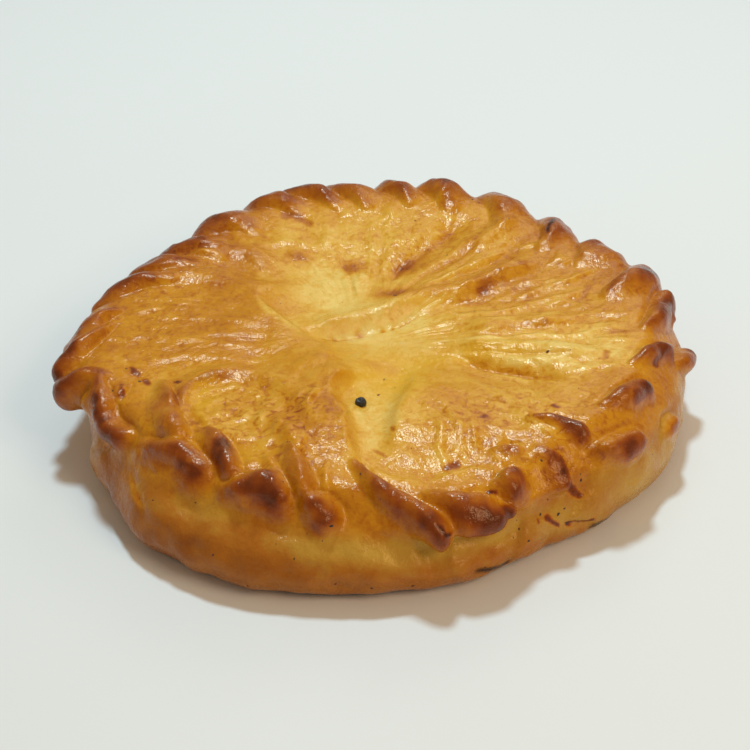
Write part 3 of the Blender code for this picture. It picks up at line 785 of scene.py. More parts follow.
# Where the gathers are strong: middle, half lengths along x and y, and how much stronger.
GATHERS_LEAST = 0.3
GATHERED = [(60, 10, 56, 46, 1.3), (20, 66, 60, 34, 0.8), (-70, 60, 34, 24, 0.6), (-80, 0, 40, 30, 0.35)]


def lumps_at(points, lumps):
    """The sum of several sizes of lumps at each point."""
    return sum(height * cloud(points / size, seed) for size, height, seed in lumps)


def wander_at(points, size, far, seeds):
    """How far each point's place wanders, once for each seed."""
    return [far * cloud(points / size, seed) for seed in seeds]


def gather_places(x, y, reach):
    """Places on the lid such that a step round the gathering point and a step outwards are two axes."""
    from_x = x - GATHERING_POINT[0]
    from_y = y - GATHERING_POINT[1]
    distance = np.maximum(np.hypot(from_x, from_y), 1e-6)
    return np.stack([MEAN_RIM * from_x / distance, MEAN_RIM * from_y / distance, reach], axis=-1)


def crust_surface(row, turn):
    """The finished crust in millimetres, with what the colours need of it."""
    points = loaf_surface(row, turn)
    normals = loaf_normals(row, turn)
    reach = np.interp(row, REACH_ROWS, REACH_VALUES)
    wander = wander_at(points, *EDGE_WANDER)
    crimps, pinches, browned = crimp_relief(reach + wander[0], turn + wander[1] / MEAN_RIM)
    over_rim = crimps * ease(reach, LEAN_STARTS, LEAN_WHOLE)
    lid = lid_relief(points[:, 0], points[:, 1], reach)
    wander = wander_at(points, *WRINKLE_WANDER)
    wrinkles = wrinkle_relief(points[:, 0] + wander[0], points[:, 1] + wander[1], reach)
    lumps = lumps_at(points, LUMPS)
    wander = wander_at(points, *GATHER_WANDER)
    flow = gather_places(points[:, 0] + wander[0], points[:, 1] + wander[1], reach)
    gathers = lumps_at(flow, GATHERS)
    off_middle = np.hypot(points[:, 0] - GATHERING_POINT[0], points[:, 1] - GATHERING_POINT[1])
    gathers *= ease(off_middle, *GATHERS_START) * ease(-reach, 0.0, GATHERS_FADE)
    gathers *= GATHERS_LEAST + patches_at(points[:, 0], points[:, 1], GATHERED)
    kneaded = lumps_at(points, CRIMP_LUMPS) * ease(crimps, *CRIMP_HAS_LUMPS)
    handled = lumps_at(points, WALL_LUMPS) * ease(reach, *WALL_STARTS)
    creases = wall_relief(reach, turn) + handled * (1 - ease(crimps, *CRIMP_HAS_NO_DENTS))
    relief = crimps + pinches + lid + wrinkles + kneaded
    relief += (lumps + gathers + creases) * ease(points[:, 2], 0.0, ABOVE_FOOT)
    points = points + normals * relief[:, None]
    points[:, 0] += CRIMP_PUSH * over_rim * np.cos(turn)
    points[:, 1] += CRIMP_PUSH * over_rim * np.sin(turn)
    points[:, 2] = np.maximum(points[:, 2] - CRIMP_LEAN * over_rim, 0.0)
    return points, reach, flow, crimps, browned, wrinkles + gathers, lid + lumps + kneaded


few = crust_surface(np.array([2.0, 6.0, 9.0]), np.radians([270.0, 270.0, 270.0]))
print("height at the front, lid to belly:", np.round(few[0][:, 2], 1).tolist())

# %% Turn the profile and fold the loaf
TURN_STEPS = 600
# How many rings the turned loaf has between one row of the section and the next.
ROW_STEPS = [10, 16, 16, 20, 18, 18, 11, 12, 10, 8, 5, 3]


def turned_loaf(name):
    """The plain loaf as a profile turned round Z. Each point keeps its row of the section."""
    rows = [0.0]
    for row, steps in enumerate(ROW_STEPS):
        rows += [row + (step + 1) / steps for step in range(steps)]
    outline = loaf_surface(np.array(rows), np.zeros(len(rows))) * MM
    profile = bpy.data.meshes.new(name)
    profile.from_pydata(
        [(point[0], 0.0, point[2]) for point in outline],
        [(k, k + 1) for k in range(len(rows) - 1)],
        [],
    )
    profile.attributes.new("row", "FLOAT", "POINT").data.foreach_set("value", rows)
    guide = new_object(name, profile)
    screw = guide.modifiers.new("turn", "SCREW")
    screw.axis = "Z"
    screw.steps = TURN_STEPS
    screw.render_steps = TURN_STEPS
    screw.use_merge_vertices = True
    screw.merge_threshold = 0.00001
    turned = bpy.data.meshes.new_from_object(guide.evaluated_get(bpy.context.evaluated_depsgraph_get()))
    bpy.data.objects.remove(guide)
    return turned


def read_points(mesh, name, width):
    """An attribute of every point as rows of numbers."""
    values = np.empty(len(mesh.vertices) * width, np.float32)
    mesh.attributes[name].data.foreach_get("value" if width == 1 else "vector", values)
    return values.reshape(-1, width) if width > 1 else values


crust_mesh = turned_loaf("crust")
rows = read_points(crust_mesh, "row", 1).astype(float)
places = read_points(crust_mesh, "position", 3).astype(float)
turns = np.arctan2(places[:, 1], places[:, 0])
points, reach, flow, crimps, browned, wrinkles, folds = crust_surface(rows, turns)
print(len(points), "points, box in mm", np.round(points.min(axis=0), 1), np.round(points.max(axis=0), 1))

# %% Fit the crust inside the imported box
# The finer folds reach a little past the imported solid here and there, so each axis is drawn in by the
# share that it needs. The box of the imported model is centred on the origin.
points_slid = points * MM + np.array(SLIDE)
box_low, box_high = np.array(cad_box)
SPARE = 0.0002
for axis in range(3):
    past_high = points_slid[:, axis].max() / (box_high[axis] - SPARE)
    past_low = points_slid[:, axis].min() / (box_low[axis] + SPARE) if axis < 2 else 0.0
    drawn_in = max(past_high, past_low, 1.0)
    points_slid[:, axis] /= drawn_in
    print("drawn in along axis", axis, "by", round(drawn_in, 4))
crust_mesh.vertices.foreach_set("co", points_slid.ravel())
crust_mesh.update()

# %% [markdown]
# ## Where the crust browned, and where shade is painted
# Dough browns where it stands up to the heat, so the tops of the crimps are darkest, the rim is browner
# than the lid, and the hollow middle stays pale. Butter ran yellow in the front valley. The deep crease
# behind the middle and a few creases of the wall are darkened as painted shade, and the low front wall
# partly so. These facts are worked out once for every point and kept as attributes, which the crust's
# material reads.

# %% Marks of browning and of painted shade
# A stroke runs from a turn and reach to a turn and reach, with a half width in mm and a strength.
BROWN_AND_CREASE_SHADE_STROKES = [
    (165, -2, 189, 1, 5.0, 0.70), (201, -7, 207, -3, 3.0, 0.90), (194, -26, 196, -26, 2.5, 0.80),
    (199, -27, 200, -27, 2.0, 0.80), (203, -37, 204, -36, 1.5, 0.90), (187, -1, 193, 0, 3.2, 0.88),
    (182, -8, 184, -2, 2.8, 0.88), (200, -18, 203, -13, 1.6, 0.75), (229, -4, 233, -2, 3.0, 0.84),
    (248, -4, 252, -3, 2.6, 0.80), (265.4, -24, 265.6, -24, 2.0, 0.95), (279.5, -2.5, 281.5, -1, 1.5, 1.0),
    (286, -28, 288, -28, 2.8, 0.8), (302, -43, 303, -42, 3.4, 0.62), (269, -38, 271, -36, 2.0, 0.55),
    (252, -44, 254, -44, 3.0, 0.5), (274.8, -52, 275.2, -52, 1.2, 0.8), (319, -29, 319, -26, 1.6, 0.7),
    (302, 15, 304, 20, 1.6, 0.9), (300, 13, 300, 14, 1.2, 0.75), (307, 3, 310, 12, 2.2, 0.85),
    (291, -10, 292.5, -9, 1.8, 0.90), (343, -27, 346, -27, 1.4, 0.5), (355, -27, 355, -15, 2.2, 0.5),
    (346, -6, 350, -5, 3.0, 0.84), (108, -33, 113, -25, 4.0, 0.6), (122, -33, 122, -32, 3.0, 0.5),
    (122, -22, 123, -21, 3.0, 0.55), (12, -36, 17, -31, 2.5, 0.55), (60.4, -12, 60.6, -12, 1.4, 0.95),
    # Three strokes, from (306, 21), (205, 10) and (217, 9), darken creases of the wall as painted shade.
    (63.4, -17, 63.6, -17, 1.2, 0.9), (41, -18, 44, -9, 1.8, 1.0), (306, 21, 311, 25, 0.9, 1.0),
    (330, -8, 334, -7, 3.0, 0.82), (205, 10, 209, 6, 1.2, 0.6), (217, 9, 224, 13, 1.6, 0.5),
    (318, 3, 324, 4, 1.6, 0.7),
]
# Dark strokes low on the wall, where the underside shows at the foot.
DARK_FOOT_STROKES = [(287, 26, 293, 30, 1.5, 1.0), (312, 28, 318, 30, 1.5, 1.0), (242, 31, 243, 31, 1.2, 0.9)]
# A patch of the lid: middle, half lengths along x and y, and how much browner or paler it is.
BROWN_PATCHES = [
    (-74, 8, 46, 36, 0.10), (-60, 64, 40, 24, 0.16), (2, 14, 40, 24, -0.29), (-18, 76, 34, 16, -0.12),
    (62, 34, 46, 36, 0.14), (45, -66, 34, 28, 0.02), (-55, -52, 22, 20, 0.10), (-30, -62, 14, 20, 0.14),
    (3, -52, 14, 34, -0.26), (84, -14, 22, 14, -0.10), (-22, 46, 22, 20, -0.24), (60, -14, 40, 14, -0.12),
    (-10, 57, 6, 5, 0.45), (7, 33, 8, 5, 0.5), (-33, 63, 4, 4, 0.4), (15, 58, 5, 4, 0.3),
    (48, 33, 5, 4, 0.3), (1, -18, 5, 3, 0.35), (5, -23, 3, 2.5, 0.4), (98, -25, 12, 9, -0.16),
    (-36, -36, 14, 10, -0.12), (66, -28, 16, 9, -0.1),
]
# Where butter ran yellow over the lid: middle, half lengths and how yellow.
BUTTER_PATCHES = [
    (6, -32, 15, 18, 1.0), (28, -16, 22, 6, 0.5), (55, -15, 14, 4, 0.6), (-68, -46, 5, 14, 0.8),
    (-47, -82, 6, 5, 0.5), (-24, -18, 14, 9, 0.3),
]
# Lines of the lid that are browner or paler: a line, how wide it is on its left and on its right, and
# how much browner it is. The first darkens the deep crease behind the middle as painted shade.
LID_LINES_AND_CREASE_SHADE = [
    # This first line is painted shade in the deep crease behind the middle.
    ([(-24, 2.8), (-10, 6.6), (0, 9.4), (16, 14.6)], 0.9, 0.9, 0.50),
    ([(-79, -58), (-76, -42), (-68, -32), (-55, -29)], 2.0, 2.0, 0.22),
    ([(33, -18), (45, -25), (57, -30), (72, -38)], 2.4, 2.4, 0.26),
    ([(6, 48), (20, 62), (38, 84)], 3.0, 3.0, 0.24),
    ([(-9, -28), (-18, -36), (-20, -48), (-15, -62)], 2.0, 2.0, 0.14),
    ([(-50, 24), (-41, 10), (-31, -1)], 2.2, 2.2, -0.22),
    ([(34, -7), (60, -15), (84, -22)], 2.6, 2.6, -0.16),
    ([(38, 6), (57, 4), (80, 7)], 2.4, 2.4, -0.16),
]
# How blotchy the dough is: middle, half lengths and amount, over a little everywhere.
BLOTCHED_LEAST = 0.35
BLOTCHED_MOST = 1.2
BLOTCHED = [
    (-54, -56, 26, 22, 1.0), (-30, -70, 18, 22, 0.8), (50, -66, 40, 30, 0.8), (70, 6, 40, 40, 0.5),
    (10, 70, 60, 24, 0.5), (-90, 30, 22, 50, 0.4),
]
# Patches of the wall in turns and reaches: middle, half lengths in degrees and mm, and how much browner.
# The browner ones low on the front wall are part browning, part painted shade near the foot.
WALL_PATCHES_AND_LOW_SHADE = [
    (217, 22, 24, 12, 0.22), (240, 26, 22, 8, 0.25), (238, 5, 9, 4, -0.35), (203, 18, 8, 10, -0.3),
    (225, 11, 10, 3, -0.2), (258, 10, 8, 4, -0.3), (236, 16, 3, 4, 0.3), (270, 10, 14, 6, -0.45),
    (290, 12, 12, 6, -0.4), (320, 10, 10, 14, -0.25), (250, 8, 8, 5, 0.1), (302, 20, 8, 8, -0.3),
    (345, 12, 16, 10, -0.25), (330, 22, 30, 10, -0.25), (278, 26, 16, 5, 0.1),
]
print(len(BROWN_AND_CREASE_SHADE_STROKES + DARK_FOOT_STROKES), "strokes,", len(BROWN_PATCHES + WALL_PATCHES_AND_LOW_SHADE), "patches")

# %% Read the strokes
# A stroke fades out between these shares of its half width.
STROKE_FADES = (0.2, 1.6)


def strokes_at(turn, reach, strokes):
    """The strongest of the strokes at each place."""
    strongest = np.zeros(len(turn))
    for turn_a, reach_a, turn_b, reach_b, half_width, strength in strokes:
        round_way, places = unrolled(turn, [(turn_a, reach_a), (turn_b, reach_b)])
        distance = near_line(round_way, reach, places)[0]
        strongest = np.maximum(strongest, strength * (1 - ease(distance / half_width, *STROKE_FADES)))
    return strongest


darkest = strokes_at(np.radians([204.0]), np.array([-5.0]), BROWN_AND_CREASE_SHADE_STROKES)
print("brown at the middle of a stroke:", round(float(darkest[0]), 2))

# %% Values of the browning
# How brown the bare lid and the bare wall are, and what the rim adds, with more of it round the back.
BARE_BROWN = 0.31
BARE_WALL = 0.5
RIM_BROWNING = 0.16
BACK_RIM_BROWNING = 0.14
# Browning added for each millimetre that a fold stands up, and taken off for a wrinkle.
FOLD_BROWNING = 0.015
WRINKLE_PALING = 0.10
# Higher and deeper folds and wrinkles, in millimetres, count as these.
FOLD_LIMITS = (-3.0, 4.0)
WRINKLE_LIMITS = (-1.0, 1.0)
# Crimps baked browner by this factor, but no crimp is darker than this.
CRIMP_BAKED = 1.06
DARKEST_CRIMP = 0.85
# The higher this power, the sharper the lid's brown ends where a crimp's brown begins.
SMOOTH_MAXIMUM = 4
# What wanders or is uneven: size in millimetres, amount and seed.
UNEVEN = {
    "patches": [(5.0, 2.2, 41)],
    "strokes round": [(4.0, 1.6, 42)],
    "strokes down": [(4.0, 1.6, 43)],
    "crimps": [(5.0, 0.30, 44)],
    "wall": [(14.0, 0.16, 45), (5.0, 0.08, 46)],
}
# Where each zone starts and where it is whole, or ends: along the reach in millimetres, but the back
# along y, and the underside in rows of the section before the foot.
LID_ZONE = (-2.0, 6.0)
RIM_ZONE = (-34.0, -4.0)
RIM_ENDS = (2.0, 10.0)
BACK_ZONE = (0.0, 60.0)
WALL_ZONE = (0.0, 10.0)
UNDERSIDE_ROWS = 0.35
# A crimp so many millimetres high, or a stroke so strong, hides the wall's colours.
CRIMP_HIDES_WALL = (0.4, 2.0)
STROKE_HIDES_WALL = (0.2, 0.6)
# A crimp so many millimetres high is less blotchy, by this share.
CRIMP_HIDES_BLOTS = (1.0, 3.0)
BLOTS_HIDDEN = 0.8
print("browning from", BARE_BROWN, "on the bare lid up to", DARKEST_CRIMP, "on the crimps")

# %% Add up the browning and the painted shade
uneven = {name: lumps_at(points, lumps) for name, lumps in UNEVEN.items()}
wander_turns = turns + uneven["strokes round"] / MEAN_RIM
strokes = strokes_at(wander_turns, reach + uneven["strokes down"], BROWN_AND_CREASE_SHADE_STROKES)
patch_places = (points[:, 0] + uneven["patches"], points[:, 1] + uneven["patches"])
lid_only = ease(-reach, *LID_ZONE)
rim_browning = RIM_BROWNING + BACK_RIM_BROWNING * ease(points[:, 1], *BACK_ZONE)
rim_browning *= ease(reach, *RIM_ZONE) * (1 - ease(reach, *RIM_ENDS))
lid_browning_and_shade = patches_at(*patch_places, BROWN_PATCHES)
lid_browning_and_shade += FOLD_BROWNING * np.clip(folds, *FOLD_LIMITS)
lid_browning_and_shade -= WRINKLE_PALING * np.clip(wrinkles, *WRINKLE_LIMITS)
# The lid's lines add painted shade in the deep crease behind the middle.
lid_browning_and_shade += folds_at(*patch_places, LID_LINES_AND_CREASE_SHADE)
brown = np.maximum(BARE_BROWN + rim_browning + lid_browning_and_shade * lid_only, 0.0)
browned = np.minimum(browned * (CRIMP_BAKED + uneven["crimps"]), DARKEST_CRIMP)
brown = (brown ** SMOOTH_MAXIMUM + browned ** SMOOTH_MAXIMUM) ** (1 / SMOOTH_MAXIMUM)
# The strokes bring browning, and painted shade along creases of the wall.
brown = np.maximum(brown, strokes)
butter = np.clip(patches_at(*patch_places, BUTTER_PATCHES), 0.0, 1.0) * lid_only
wall = ease(reach, *WALL_ZONE) * (1 - ease(crimps, *CRIMP_HIDES_WALL))
wall *= 1 - ease(strokes, *STROKE_HIDES_WALL)
wall_degrees = np.degrees(np.mod(wander_turns, FULL_TURN))
# The wall's value is its browning, with painted shade low on the front wall.
wall_brown_and_shade = BARE_WALL + patches_at(wall_degrees, reach, WALL_PATCHES_AND_LOW_SHADE) + uneven["wall"]
dark_foot_strokes = strokes_at(wander_turns, reach, DARK_FOOT_STROKES)
under = np.maximum(ease(rows, FOOT_ROW - UNDERSIDE_ROWS, FOOT_ROW), dark_foot_strokes)
blotched = np.clip(BLOTCHED_LEAST + patches_at(*patch_places, BLOTCHED), 0.0, BLOTCHED_MOST)
blotched *= 1 - BLOTS_HIDDEN * ease(crimps, *CRIMP_HIDES_BLOTS)
FACTS = {
    "brown": brown, "butter": butter, "wall": wall, "wall brown and shade": wall_brown_and_shade, "under": under,
    "blotched": blotched,
}
for name, values in FACTS.items():
    crust_mesh.attributes.new(name, "FLOAT", "POINT").data.foreach_set("value", values.astype(np.float32))
    print(name, "from", round(float(values.min()), 2), "to", round(float(values.max()), 2))
crust_mesh.attributes.new("flow", "FLOAT_VECTOR", "POINT").data.foreach_set(
    "vector", flow.astype(np.float32).ravel()
)

# %% [markdown]
# ## Egg-washed dough
# The real finish is yeast dough brushed with beaten egg. Baked, the egg is a thin clear film over a
# slightly rough crumb, so the shader is a plastic-like surface with a thin coat, and the colour goes
# from pale straw through gold and orange to dark brown as the sugars burn. The wall got less egg and
# baked in the shade of the rim, so it has colours of its own and a thinner coat.

# %% Patterns in the dough
crust_material, tree, shader = new_material("egg-washed yeast dough, baked golden")
where = add(tree, "ShaderNodeTexCoord").outputs["Object"]
fact = {name: add(tree, "ShaderNodeAttribute", attribute_name=name).outputs["Fac"] for name in FACTS}
# Browned patches, blots, the crumb's pebbles and its fine grain: size, detail, roughness, distortion.
PATTERNS = {
    "mottle": (12 * MM, 5.0, 0.6, 0.6), "blots": (3.8 * MM, 3.0, 0.6, 1.0),
    "pebbles": (2.4 * MM, 2.5, 0.5, 0.0), "grain": (0.6 * MM, 1.0, 0.5, 0.0),
}
pattern = {}
for name, (size, detail, roughness, distortion) in PATTERNS.items():
    settings = {"Scale": 1 / size, "Detail": detail, "Roughness": roughness, "Distortion": distortion}
    pattern[name] = add(tree, "ShaderNodeTexNoise", {"Vector": where, **settings}).outputs["Fac"]
# Streaks of this width and length in millimetres follow the gathers.
STREAK_SIZE = (1.8, 1.8, 22.0)
flow_at = add(tree, "ShaderNodeAttribute", attribute_name="flow").outputs["Vector"]
stretched = add(tree, "ShaderNodeVectorMath", {0: flow_at, 1: STREAK_SIZE}, operation="DIVIDE").outputs[0]
pattern["streaks"] = add(
    tree, "ShaderNodeTexNoise", {"Vector": stretched, "Scale": 1.0, "Detail": 3.0}
).outputs["Fac"]
centred = {
    name: add(tree, "ShaderNodeMath", {0: pattern[name], 1: 0.5}, operation="SUBTRACT").outputs[0]
    for name in ("mottle", "streaks")
}
print(len(pattern), "patterns in the dough")

# %% How brown it is, as colours
LID_COLOURS = [
    (0.00, "#EAC76C"), (0.18, "#DDA83A"), (0.36, "#CB8712"), (0.55, "#B0640C"),
    (0.72, "#8E400A"), (0.88, "#662608"), (1.00, "#361004"),
]
WALL_COLOURS = [(0.0, "#BE923A"), (0.5, "#AA641E"), (1.0, "#86441A")]
islands = add(
    tree, "ShaderNodeMapRange",
    {"Value": pattern["blots"], "From Min": 0.48, "From Max": 0.70, "To Min": -0.07, "To Max": 0.20},
).outputs["Result"]
browned = add(
    tree, "ShaderNodeMath", {0: islands, 1: fact["blotched"], 2: fact["brown"]}, operation="MULTIPLY_ADD"
).outputs[0]
for name, share in {"mottle": 0.42, "streaks": 0.10}.items():
    browned = add(
        tree, "ShaderNodeMath", {0: centred[name], 1: share, 2: browned}, operation="MULTIPLY_ADD"
    ).outputs[0]
colour = add(tree, "ShaderNodeValToRGB", {"Fac": browned}, colours=LID_COLOURS).outputs["Color"]
wall_tone = add(
    tree, "ShaderNodeMath", {0: centred["mottle"], 1: 0.9, 2: fact["wall brown and shade"]}, operation="MULTIPLY_ADD"
).outputs[0]
wall_colour = add(tree, "ShaderNodeValToRGB", {"Fac": wall_tone}, colours=WALL_COLOURS).outputs["Color"]
# What lies over the lid's colour: how much of it shows, and its colour.
OVER_LID = {
    "butter": (0.75, linear("#DDA60C")),
    "wall": (0.92, wall_colour),
    "under": (1.0, linear("#2E180C")),
}
for name, (share, over) in OVER_LID.items():
    shows = add(tree, "ShaderNodeMath", {0: fact[name], 1: share}, operation="MULTIPLY").outputs[0]
    mixed = add(tree, "ShaderNodeMix", {"Factor": shows, "A": colour, "B": over}, data_type="RGBA")
    colour = mixed.outputs["Result"]
print("the palest lid and wall:", LID_COLOURS[0][1], WALL_COLOURS[0][1])

# %% Finish of the crust
# Index of refraction of a dry egg film is about 1.5, and the dough under it scatters a little light.
rough = add(
    tree, "ShaderNodeMapRange",
    {"Value": pattern["pebbles"], "From Min": 0.3, "From Max": 0.7, "To Min": 0.22, "To Max": 0.38},
).outputs["Result"]
# The lid got this much egg, and the wall less of it.
LID_EGG = 0.28
WALL_LESS_EGG = 0.20
egg = add(
    tree, "ShaderNodeMath", {0: fact["wall"], 1: -WALL_LESS_EGG, 2: LID_EGG}, operation="MULTIPLY_ADD"
).outputs[0]
surface_height = pattern["pebbles"]
for name, share in {"grain": 0.14, "streaks": 0.25}.items():
    surface_height = add(
        tree, "ShaderNodeMath", {0: pattern[name], 1: share, 2: surface_height}, operation="MULTIPLY_ADD"
    ).outputs[0]
bump = add(
    tree, "ShaderNodeBump", {"Height": surface_height, "Distance": 0.5 * MM, "Strength": 0.8}
).outputs["Normal"]
give(tree, shader, {
    "Base Color": colour, "Roughness": rough, "IOR": 1.45, "Specular IOR Level": 0.4,
    "Specular Tint": linear("#FFD29A"), "Coat Weight": egg, "Coat Roughness": 0.16,
    "Subsurface Weight": 0.06, "Subsurface Radius": (4 * MM, 2 * MM, 0.6 * MM), "Subsurface Scale": 1.0,
    "Normal": bump, "Coat Normal": bump,
})
crust_mesh.materials.clear()
crust_mesh.materials.append(crust_material)
crust_mesh.shade_smooth()


def stand_on_pie(name, mesh):
    """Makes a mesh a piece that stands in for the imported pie."""
    piece = new_object(name, mesh)
    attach(piece, "root")
    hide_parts("pie")
    print(name, "has", sum(len(face.vertices) - 2 for face in mesh.polygons), "triangles")
    return piece


crust = stand_on_pie("crust", crust_mesh)
crust_tree = BVHTree.FromObject(crust, bpy.context.evaluated_depsgraph_get())

# %% [markdown]
# ## The peppercorn
# One black peppercorn lies in the front valley, pressed in by about a quarter. A dried peppercorn is a
# ball whose skin shrank into a net of ridges. It follows a rule, so Geometry Nodes make it: a fine ball
# whose points sink in, except at the cell borders of a Voronoi pattern, which stay up as ridges.

# %% Trees of Geometry Nodes
def new_geometry_tree(name, inputs):
    """A geometry tree with a mesh in and out, named inputs and a node for each end."""
    tree = bpy.data.node_groups.new(name, "GeometryNodeTree")
    tree.interface.new_socket("Geometry", in_out="INPUT", socket_type="NodeSocketGeometry")
    tree.interface.new_socket("Geometry", in_out="OUTPUT", socket_type="NodeSocketGeometry")
    for label, kind in inputs.items():
        tree.interface.new_socket(label, in_out="INPUT", socket_type=kind)
    return tree, add(tree, "NodeGroupInput").outputs, add(tree, "NodeGroupOutput")


def end_tree(tree, made, geometry, material):
    """The last nodes of a tree: the instances made real, and the material on them."""
    whole = add(tree, "GeometryNodeRealizeInstances", {"Geometry": geometry}).outputs["Geometry"]
    finished = add(tree, "GeometryNodeSetMaterial", {"Geometry": whole, "Material": material})
    give(tree, made, {"Geometry": finished.outputs["Geometry"]})
    return tree


def plain_mesh(name, start_mesh, tree, values):
    """What the tree makes of a mesh, with its named inputs set, as a plain mesh."""
    maker = new_object(name + " maker", start_mesh)
    modifier = maker.modifiers.new(name, "NODES")
    modifier.node_group = tree
    for item in tree.interface.items_tree:
        if item.in_out == "INPUT" and item.name in values:
            modifier[item.identifier] = values[item.name]
    made = bpy.data.meshes.new_from_object(maker.evaluated_get(bpy.context.evaluated_depsgraph_get()))
    bpy.data.objects.remove(maker)
    made.name = name
    return made


print("node groups so far:", len(bpy.data.node_groups))

# %% Grow the peppercorn
# Its diameter, place seen from above and the share of it that shows, in millimetres.
PEPPERCORN_DIAMETER = 4.6
PEPPERCORN_PLACE = (-6.5, -48.0)
PEPPERCORN_SHOWING = 0.72
SKIN_SPOTS_PER_MM = 1.8
# Dried pepper skin: nearly black, with greyer spots where it is rubbed, and a slight sheen.
skin_material, tree, shader = new_material("dried black peppercorn skin")
where = add(tree, "ShaderNodeTexCoord").outputs["Object"]
spots = add(
    tree, "ShaderNodeTexNoise", {"Vector": where, "Scale": SKIN_SPOTS_PER_MM / MM, "Detail": 3.0}
).outputs["Fac"]
skin = add(tree, "ShaderNodeValToRGB", {"Fac": spots}, colours=[(0.35, "#15161C"), (0.75, "#3E4048")])
give(tree, shader, {"Base Color": skin.outputs["Color"], "Roughness": 0.42})

CORN_INPUTS = ("Radius", "Wrinkle size", "Wrinkle depth")
tree, given, made = new_geometry_tree("wrinkled corn", dict.fromkeys(CORN_INPUTS, "NodeSocketFloat"))
ball = add(tree, "GeometryNodeMeshIcoSphere", {"Radius": given["Radius"], "Subdivisions": 5})
position = add(tree, "GeometryNodeInputPosition").outputs[0]
per_size = add(tree, "ShaderNodeMath", {0: 1.0, 1: given["Wrinkle size"]}, operation="DIVIDE").outputs[0]
scaled = add(tree, "ShaderNodeVectorMath", {0: position, "Scale": per_size}, operation="SCALE").outputs[0]
cells = add(
    tree, "ShaderNodeTexVoronoi", {"Vector": scaled, "Scale": 1.0}, feature="DISTANCE_TO_EDGE"
).outputs["Distance"]
# A point this share of a wrinkle's size from a cell's border has sunk in the whole depth.
RIDGE_SHARE = 0.3
hollow = add(
    tree, "ShaderNodeMapRange", {"Value": cells, "From Max": RIDGE_SHARE, "To Min": 0.0, "To Max": -1.0}
).outputs["Result"]
depth = given["Wrinkle depth"]
inwards = add(tree, "ShaderNodeMath", {0: hollow, 1: depth}, operation="MULTIPLY").outputs[0]
outward = add(tree, "GeometryNodeInputNormal").outputs[0]
offset = add(tree, "ShaderNodeVectorMath", {0: outward, "Scale": inwards}, operation="SCALE").outputs[0]
moved = add(tree, "GeometryNodeSetPosition", {"Geometry": ball.outputs["Mesh"], "Offset": offset})
smooth = add(tree, "GeometryNodeSetShadeSmooth", {"Geometry": moved.outputs["Geometry"]})
corn_mesh = plain_mesh(
    "peppercorn",
    bpy.data.meshes.new("empty"),
    end_tree(tree, made, smooth.outputs["Geometry"], skin_material),
    {"Radius": PEPPERCORN_DIAMETER / 2 * MM, "Wrinkle size": 1.3 * MM, "Wrinkle depth": 0.32 * MM},
)
print(len(corn_mesh.vertices), "points in the wrinkled corn")

# %% Press the peppercorn into the lid
ABOVE_PIE = 100.0


def under_place(x, y):
    """The crust's point and the way up from it, under a place of the lid in millimetres."""
    return crust_tree.ray_cast(Vector((x, y, ABOVE_PIE)) * MM + SLIDE, Vector((0, 0, -1)))[:2]


lid_point = under_place(*PEPPERCORN_PLACE)[0]
sunk = PEPPERCORN_DIAMETER / 2 * (2 * PEPPERCORN_SHOWING - 1) * MM
for vertex in corn_mesh.vertices:
    vertex.co += Vector((lid_point.x, lid_point.y, lid_point.z + sunk))
stand_on_pie("peppercorn", corn_mesh)
print("peppercorn at", np.round(np.array(lid_point) / MM, 1).tolist(), "mm")

# %% [markdown]
# ## Flecks of spice and char
# Ground pepper in the dough and char from the oven leave dark flecks, none longer than two millimetres.
# Most follow no plan, so Geometry Nodes scatter them over the crust with a fixed seed. The larger
# ones lie where the photograph shows them. Each is a tiny ball, pressed flat into the dough.

# %% Colour of the flecks, and their tree
FLECK_TINTS_PER_MM = 0.16
# Charred dust: matt, from nearly black to the brown of scorched dough, each fleck nearly even.
fleck_material, tree, shader = new_material("charred pepper dust")
where = add(tree, "ShaderNodeTexCoord").outputs["Object"]
tint = add(
    tree, "ShaderNodeTexNoise", {"Vector": where, "Scale": FLECK_TINTS_PER_MM / MM, "Detail": 2.0}
).outputs["Fac"]
char = add(tree, "ShaderNodeValToRGB", {"Fac": tint}, colours=[(0.40, "#1E1410"), (0.66, "#6A3414")])
give(tree, shader, {"Base Color": char.outputs["Color"], "Roughness": 0.5})
# None grows on the underside, which is below this height.
CLEAR_OF_FOOT = 3 * MM
FLAKE_INPUTS = {
    "Density": "Float", "Seed": "Int", "Smallest": "Float", "Largest": "Float", "Flatness": "Float",
}
# A flake is this share as wide as it is long.
FLAKE_NARROWNESS = 0.6


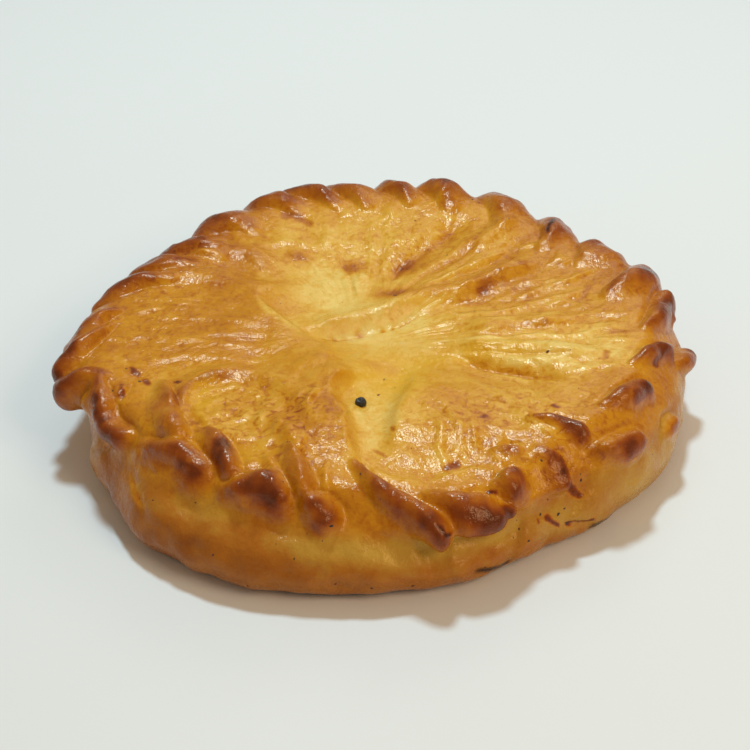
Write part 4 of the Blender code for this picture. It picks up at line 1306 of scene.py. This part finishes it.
def flake_tree(name, on_faces):
    """Flat flakes on a mesh, scattered over its faces or one on each of its points."""
    sockets = {label: "NodeSocket" + kind for label, kind in FLAKE_INPUTS.items()}
    tree, given, made = new_geometry_tree(name, sockets)
    if on_faces:
        position = add(tree, "GeometryNodeInputPosition").outputs["Position"]
        height = add(tree, "ShaderNodeSeparateXYZ", {"Vector": position}).outputs["Z"]
        clear = add(tree, "ShaderNodeMath", {0: height, 1: CLEAR_OF_FOOT}, operation="GREATER_THAN")
        chosen = {"Density": given["Density"], "Seed": given["Seed"], "Selection": clear.outputs[0]}
        points = add(tree, "GeometryNodeDistributePointsOnFaces", {"Mesh": given["Geometry"], **chosen})
        turned = points.outputs["Rotation"]
    else:
        points = add(tree, "GeometryNodeMeshToPoints", {"Mesh": given["Geometry"]})
        normal = add(tree, "GeometryNodeInputNamedAttribute", {"Name": "up"}, data_type="FLOAT_VECTOR")
        turned = add(
            tree, "FunctionNodeAlignRotationToVector", {"Vector": normal.outputs["Attribute"]}, axis="Z"
        ).outputs["Rotation"]
    spun = add(
        tree, "FunctionNodeRandomValue",
        {"Seed": given["Seed"], "Min": (0.0, 0.0, 0.0), "Max": (0.0, 0.0, FULL_TURN)},
        data_type="FLOAT_VECTOR",
    ).outputs["Value"]
    rotation = add(
        tree, "FunctionNodeRotateRotation", {"Rotation": turned, "Rotate By": spun}, rotation_space="LOCAL"
    ).outputs["Rotation"]
    size = {"Seed": given["Seed"], "Min": given["Smallest"], "Max": given["Largest"]}
    long = add(tree, "FunctionNodeRandomValue", size, data_type="FLOAT").outputs["Value"]
    wide, thin = [
        add(tree, "ShaderNodeMath", {0: long, 1: share}, operation="MULTIPLY").outputs[0]
        for share in (FLAKE_NARROWNESS, given["Flatness"])
    ]
    scale = add(tree, "ShaderNodeCombineXYZ", {"X": long, "Y": wide, "Z": thin}).outputs["Vector"]
    ball = add(tree, "GeometryNodeMeshIcoSphere", {"Radius": 1.0, "Subdivisions": 2}).outputs["Mesh"]
    flakes = add(
        tree, "GeometryNodeInstanceOnPoints",
        {"Points": points.outputs["Points"], "Instance": ball, "Rotation": rotation, "Scale": scale},
    )
    return end_tree(tree, made, flakes.outputs["Instances"], fleck_material)


print("a flake tree's inputs:", list(FLAKE_INPUTS))

# %% Scatter the small flecks
# Half lengths are in millimetres, and flatness is how thick a fleck is for its length.
FLECKS_PER_SQUARE_METRE = 1500.0
small_flecks = plain_mesh(
    "small flecks",
    crust_mesh.copy(),
    flake_tree("small flecks", True),
    {
        "Density": FLECKS_PER_SQUARE_METRE, "Seed": 5, "Smallest": 0.12 * MM, "Largest": 0.36 * MM,
        "Flatness": 0.35,
    },
)
stand_on_pie("small_flecks", small_flecks)

# %% Lay the larger flecks where the photograph shows them
# On the lid as places seen from above, and on the wall as turns and reaches, in millimetres.
LID_FLECKS = [
    (-34, -80), (-33, -81), (-18, -114), (-7, -97), (3, -28), (0.5, -40.5), (69, -22), (80, 79),
    (47, 103), (54, 103), (-100, -24), (-94, -32), (-104, -38), (60, -88), (66, -96), (72, -104),
    (75, -86), (63, -110), (62, -124), (65, -111), (9, 30), (33, 60), (62, 80), (20, 88),
]
WALL_FLECKS = [
    (211, 4), (219, 20), (247, 28), (262, 24), (268, 26), (275, 27), (288, 25), (297, 20), (301, 12),
    (296, 14), (303, 7), (311, 6), (306, 14), (309, 4), (226, 10), (234, 6), (241, 18), (255, 14),
]


def wall_point(turn, far):
    """The crust's point nearest to a turn and reach of the wall, and the way out from it."""
    row = np.interp(far, REACH_VALUES, REACH_ROWS)
    start = crust_surface(np.array([row]), np.array([math.radians(turn)]))[0][0]
    return crust_tree.find_nearest(Vector(start) * MM + SLIDE)[:2]


marks = [under_place(*place) for place in LID_FLECKS] + [wall_point(*place) for place in WALL_FLECKS]
marks = [(point, up) for point, up in marks if point is not None]
mark_mesh = bpy.data.meshes.new("fleck places")
mark_mesh.from_pydata([point[:] for point, _ in marks], [], [])
mark_mesh.attributes.new("up", "FLOAT_VECTOR", "POINT").data.foreach_set(
    "vector", np.array([up[:] for _, up in marks], np.float32).ravel()
)
large_flecks = plain_mesh(
    "large flecks",
    mark_mesh,
    flake_tree("large flecks", False),
    {"Seed": 8, "Smallest": 0.35 * MM, "Largest": 0.8 * MM, "Flatness": 0.3},
)
stand_on_pie("large_flecks", large_flecks)
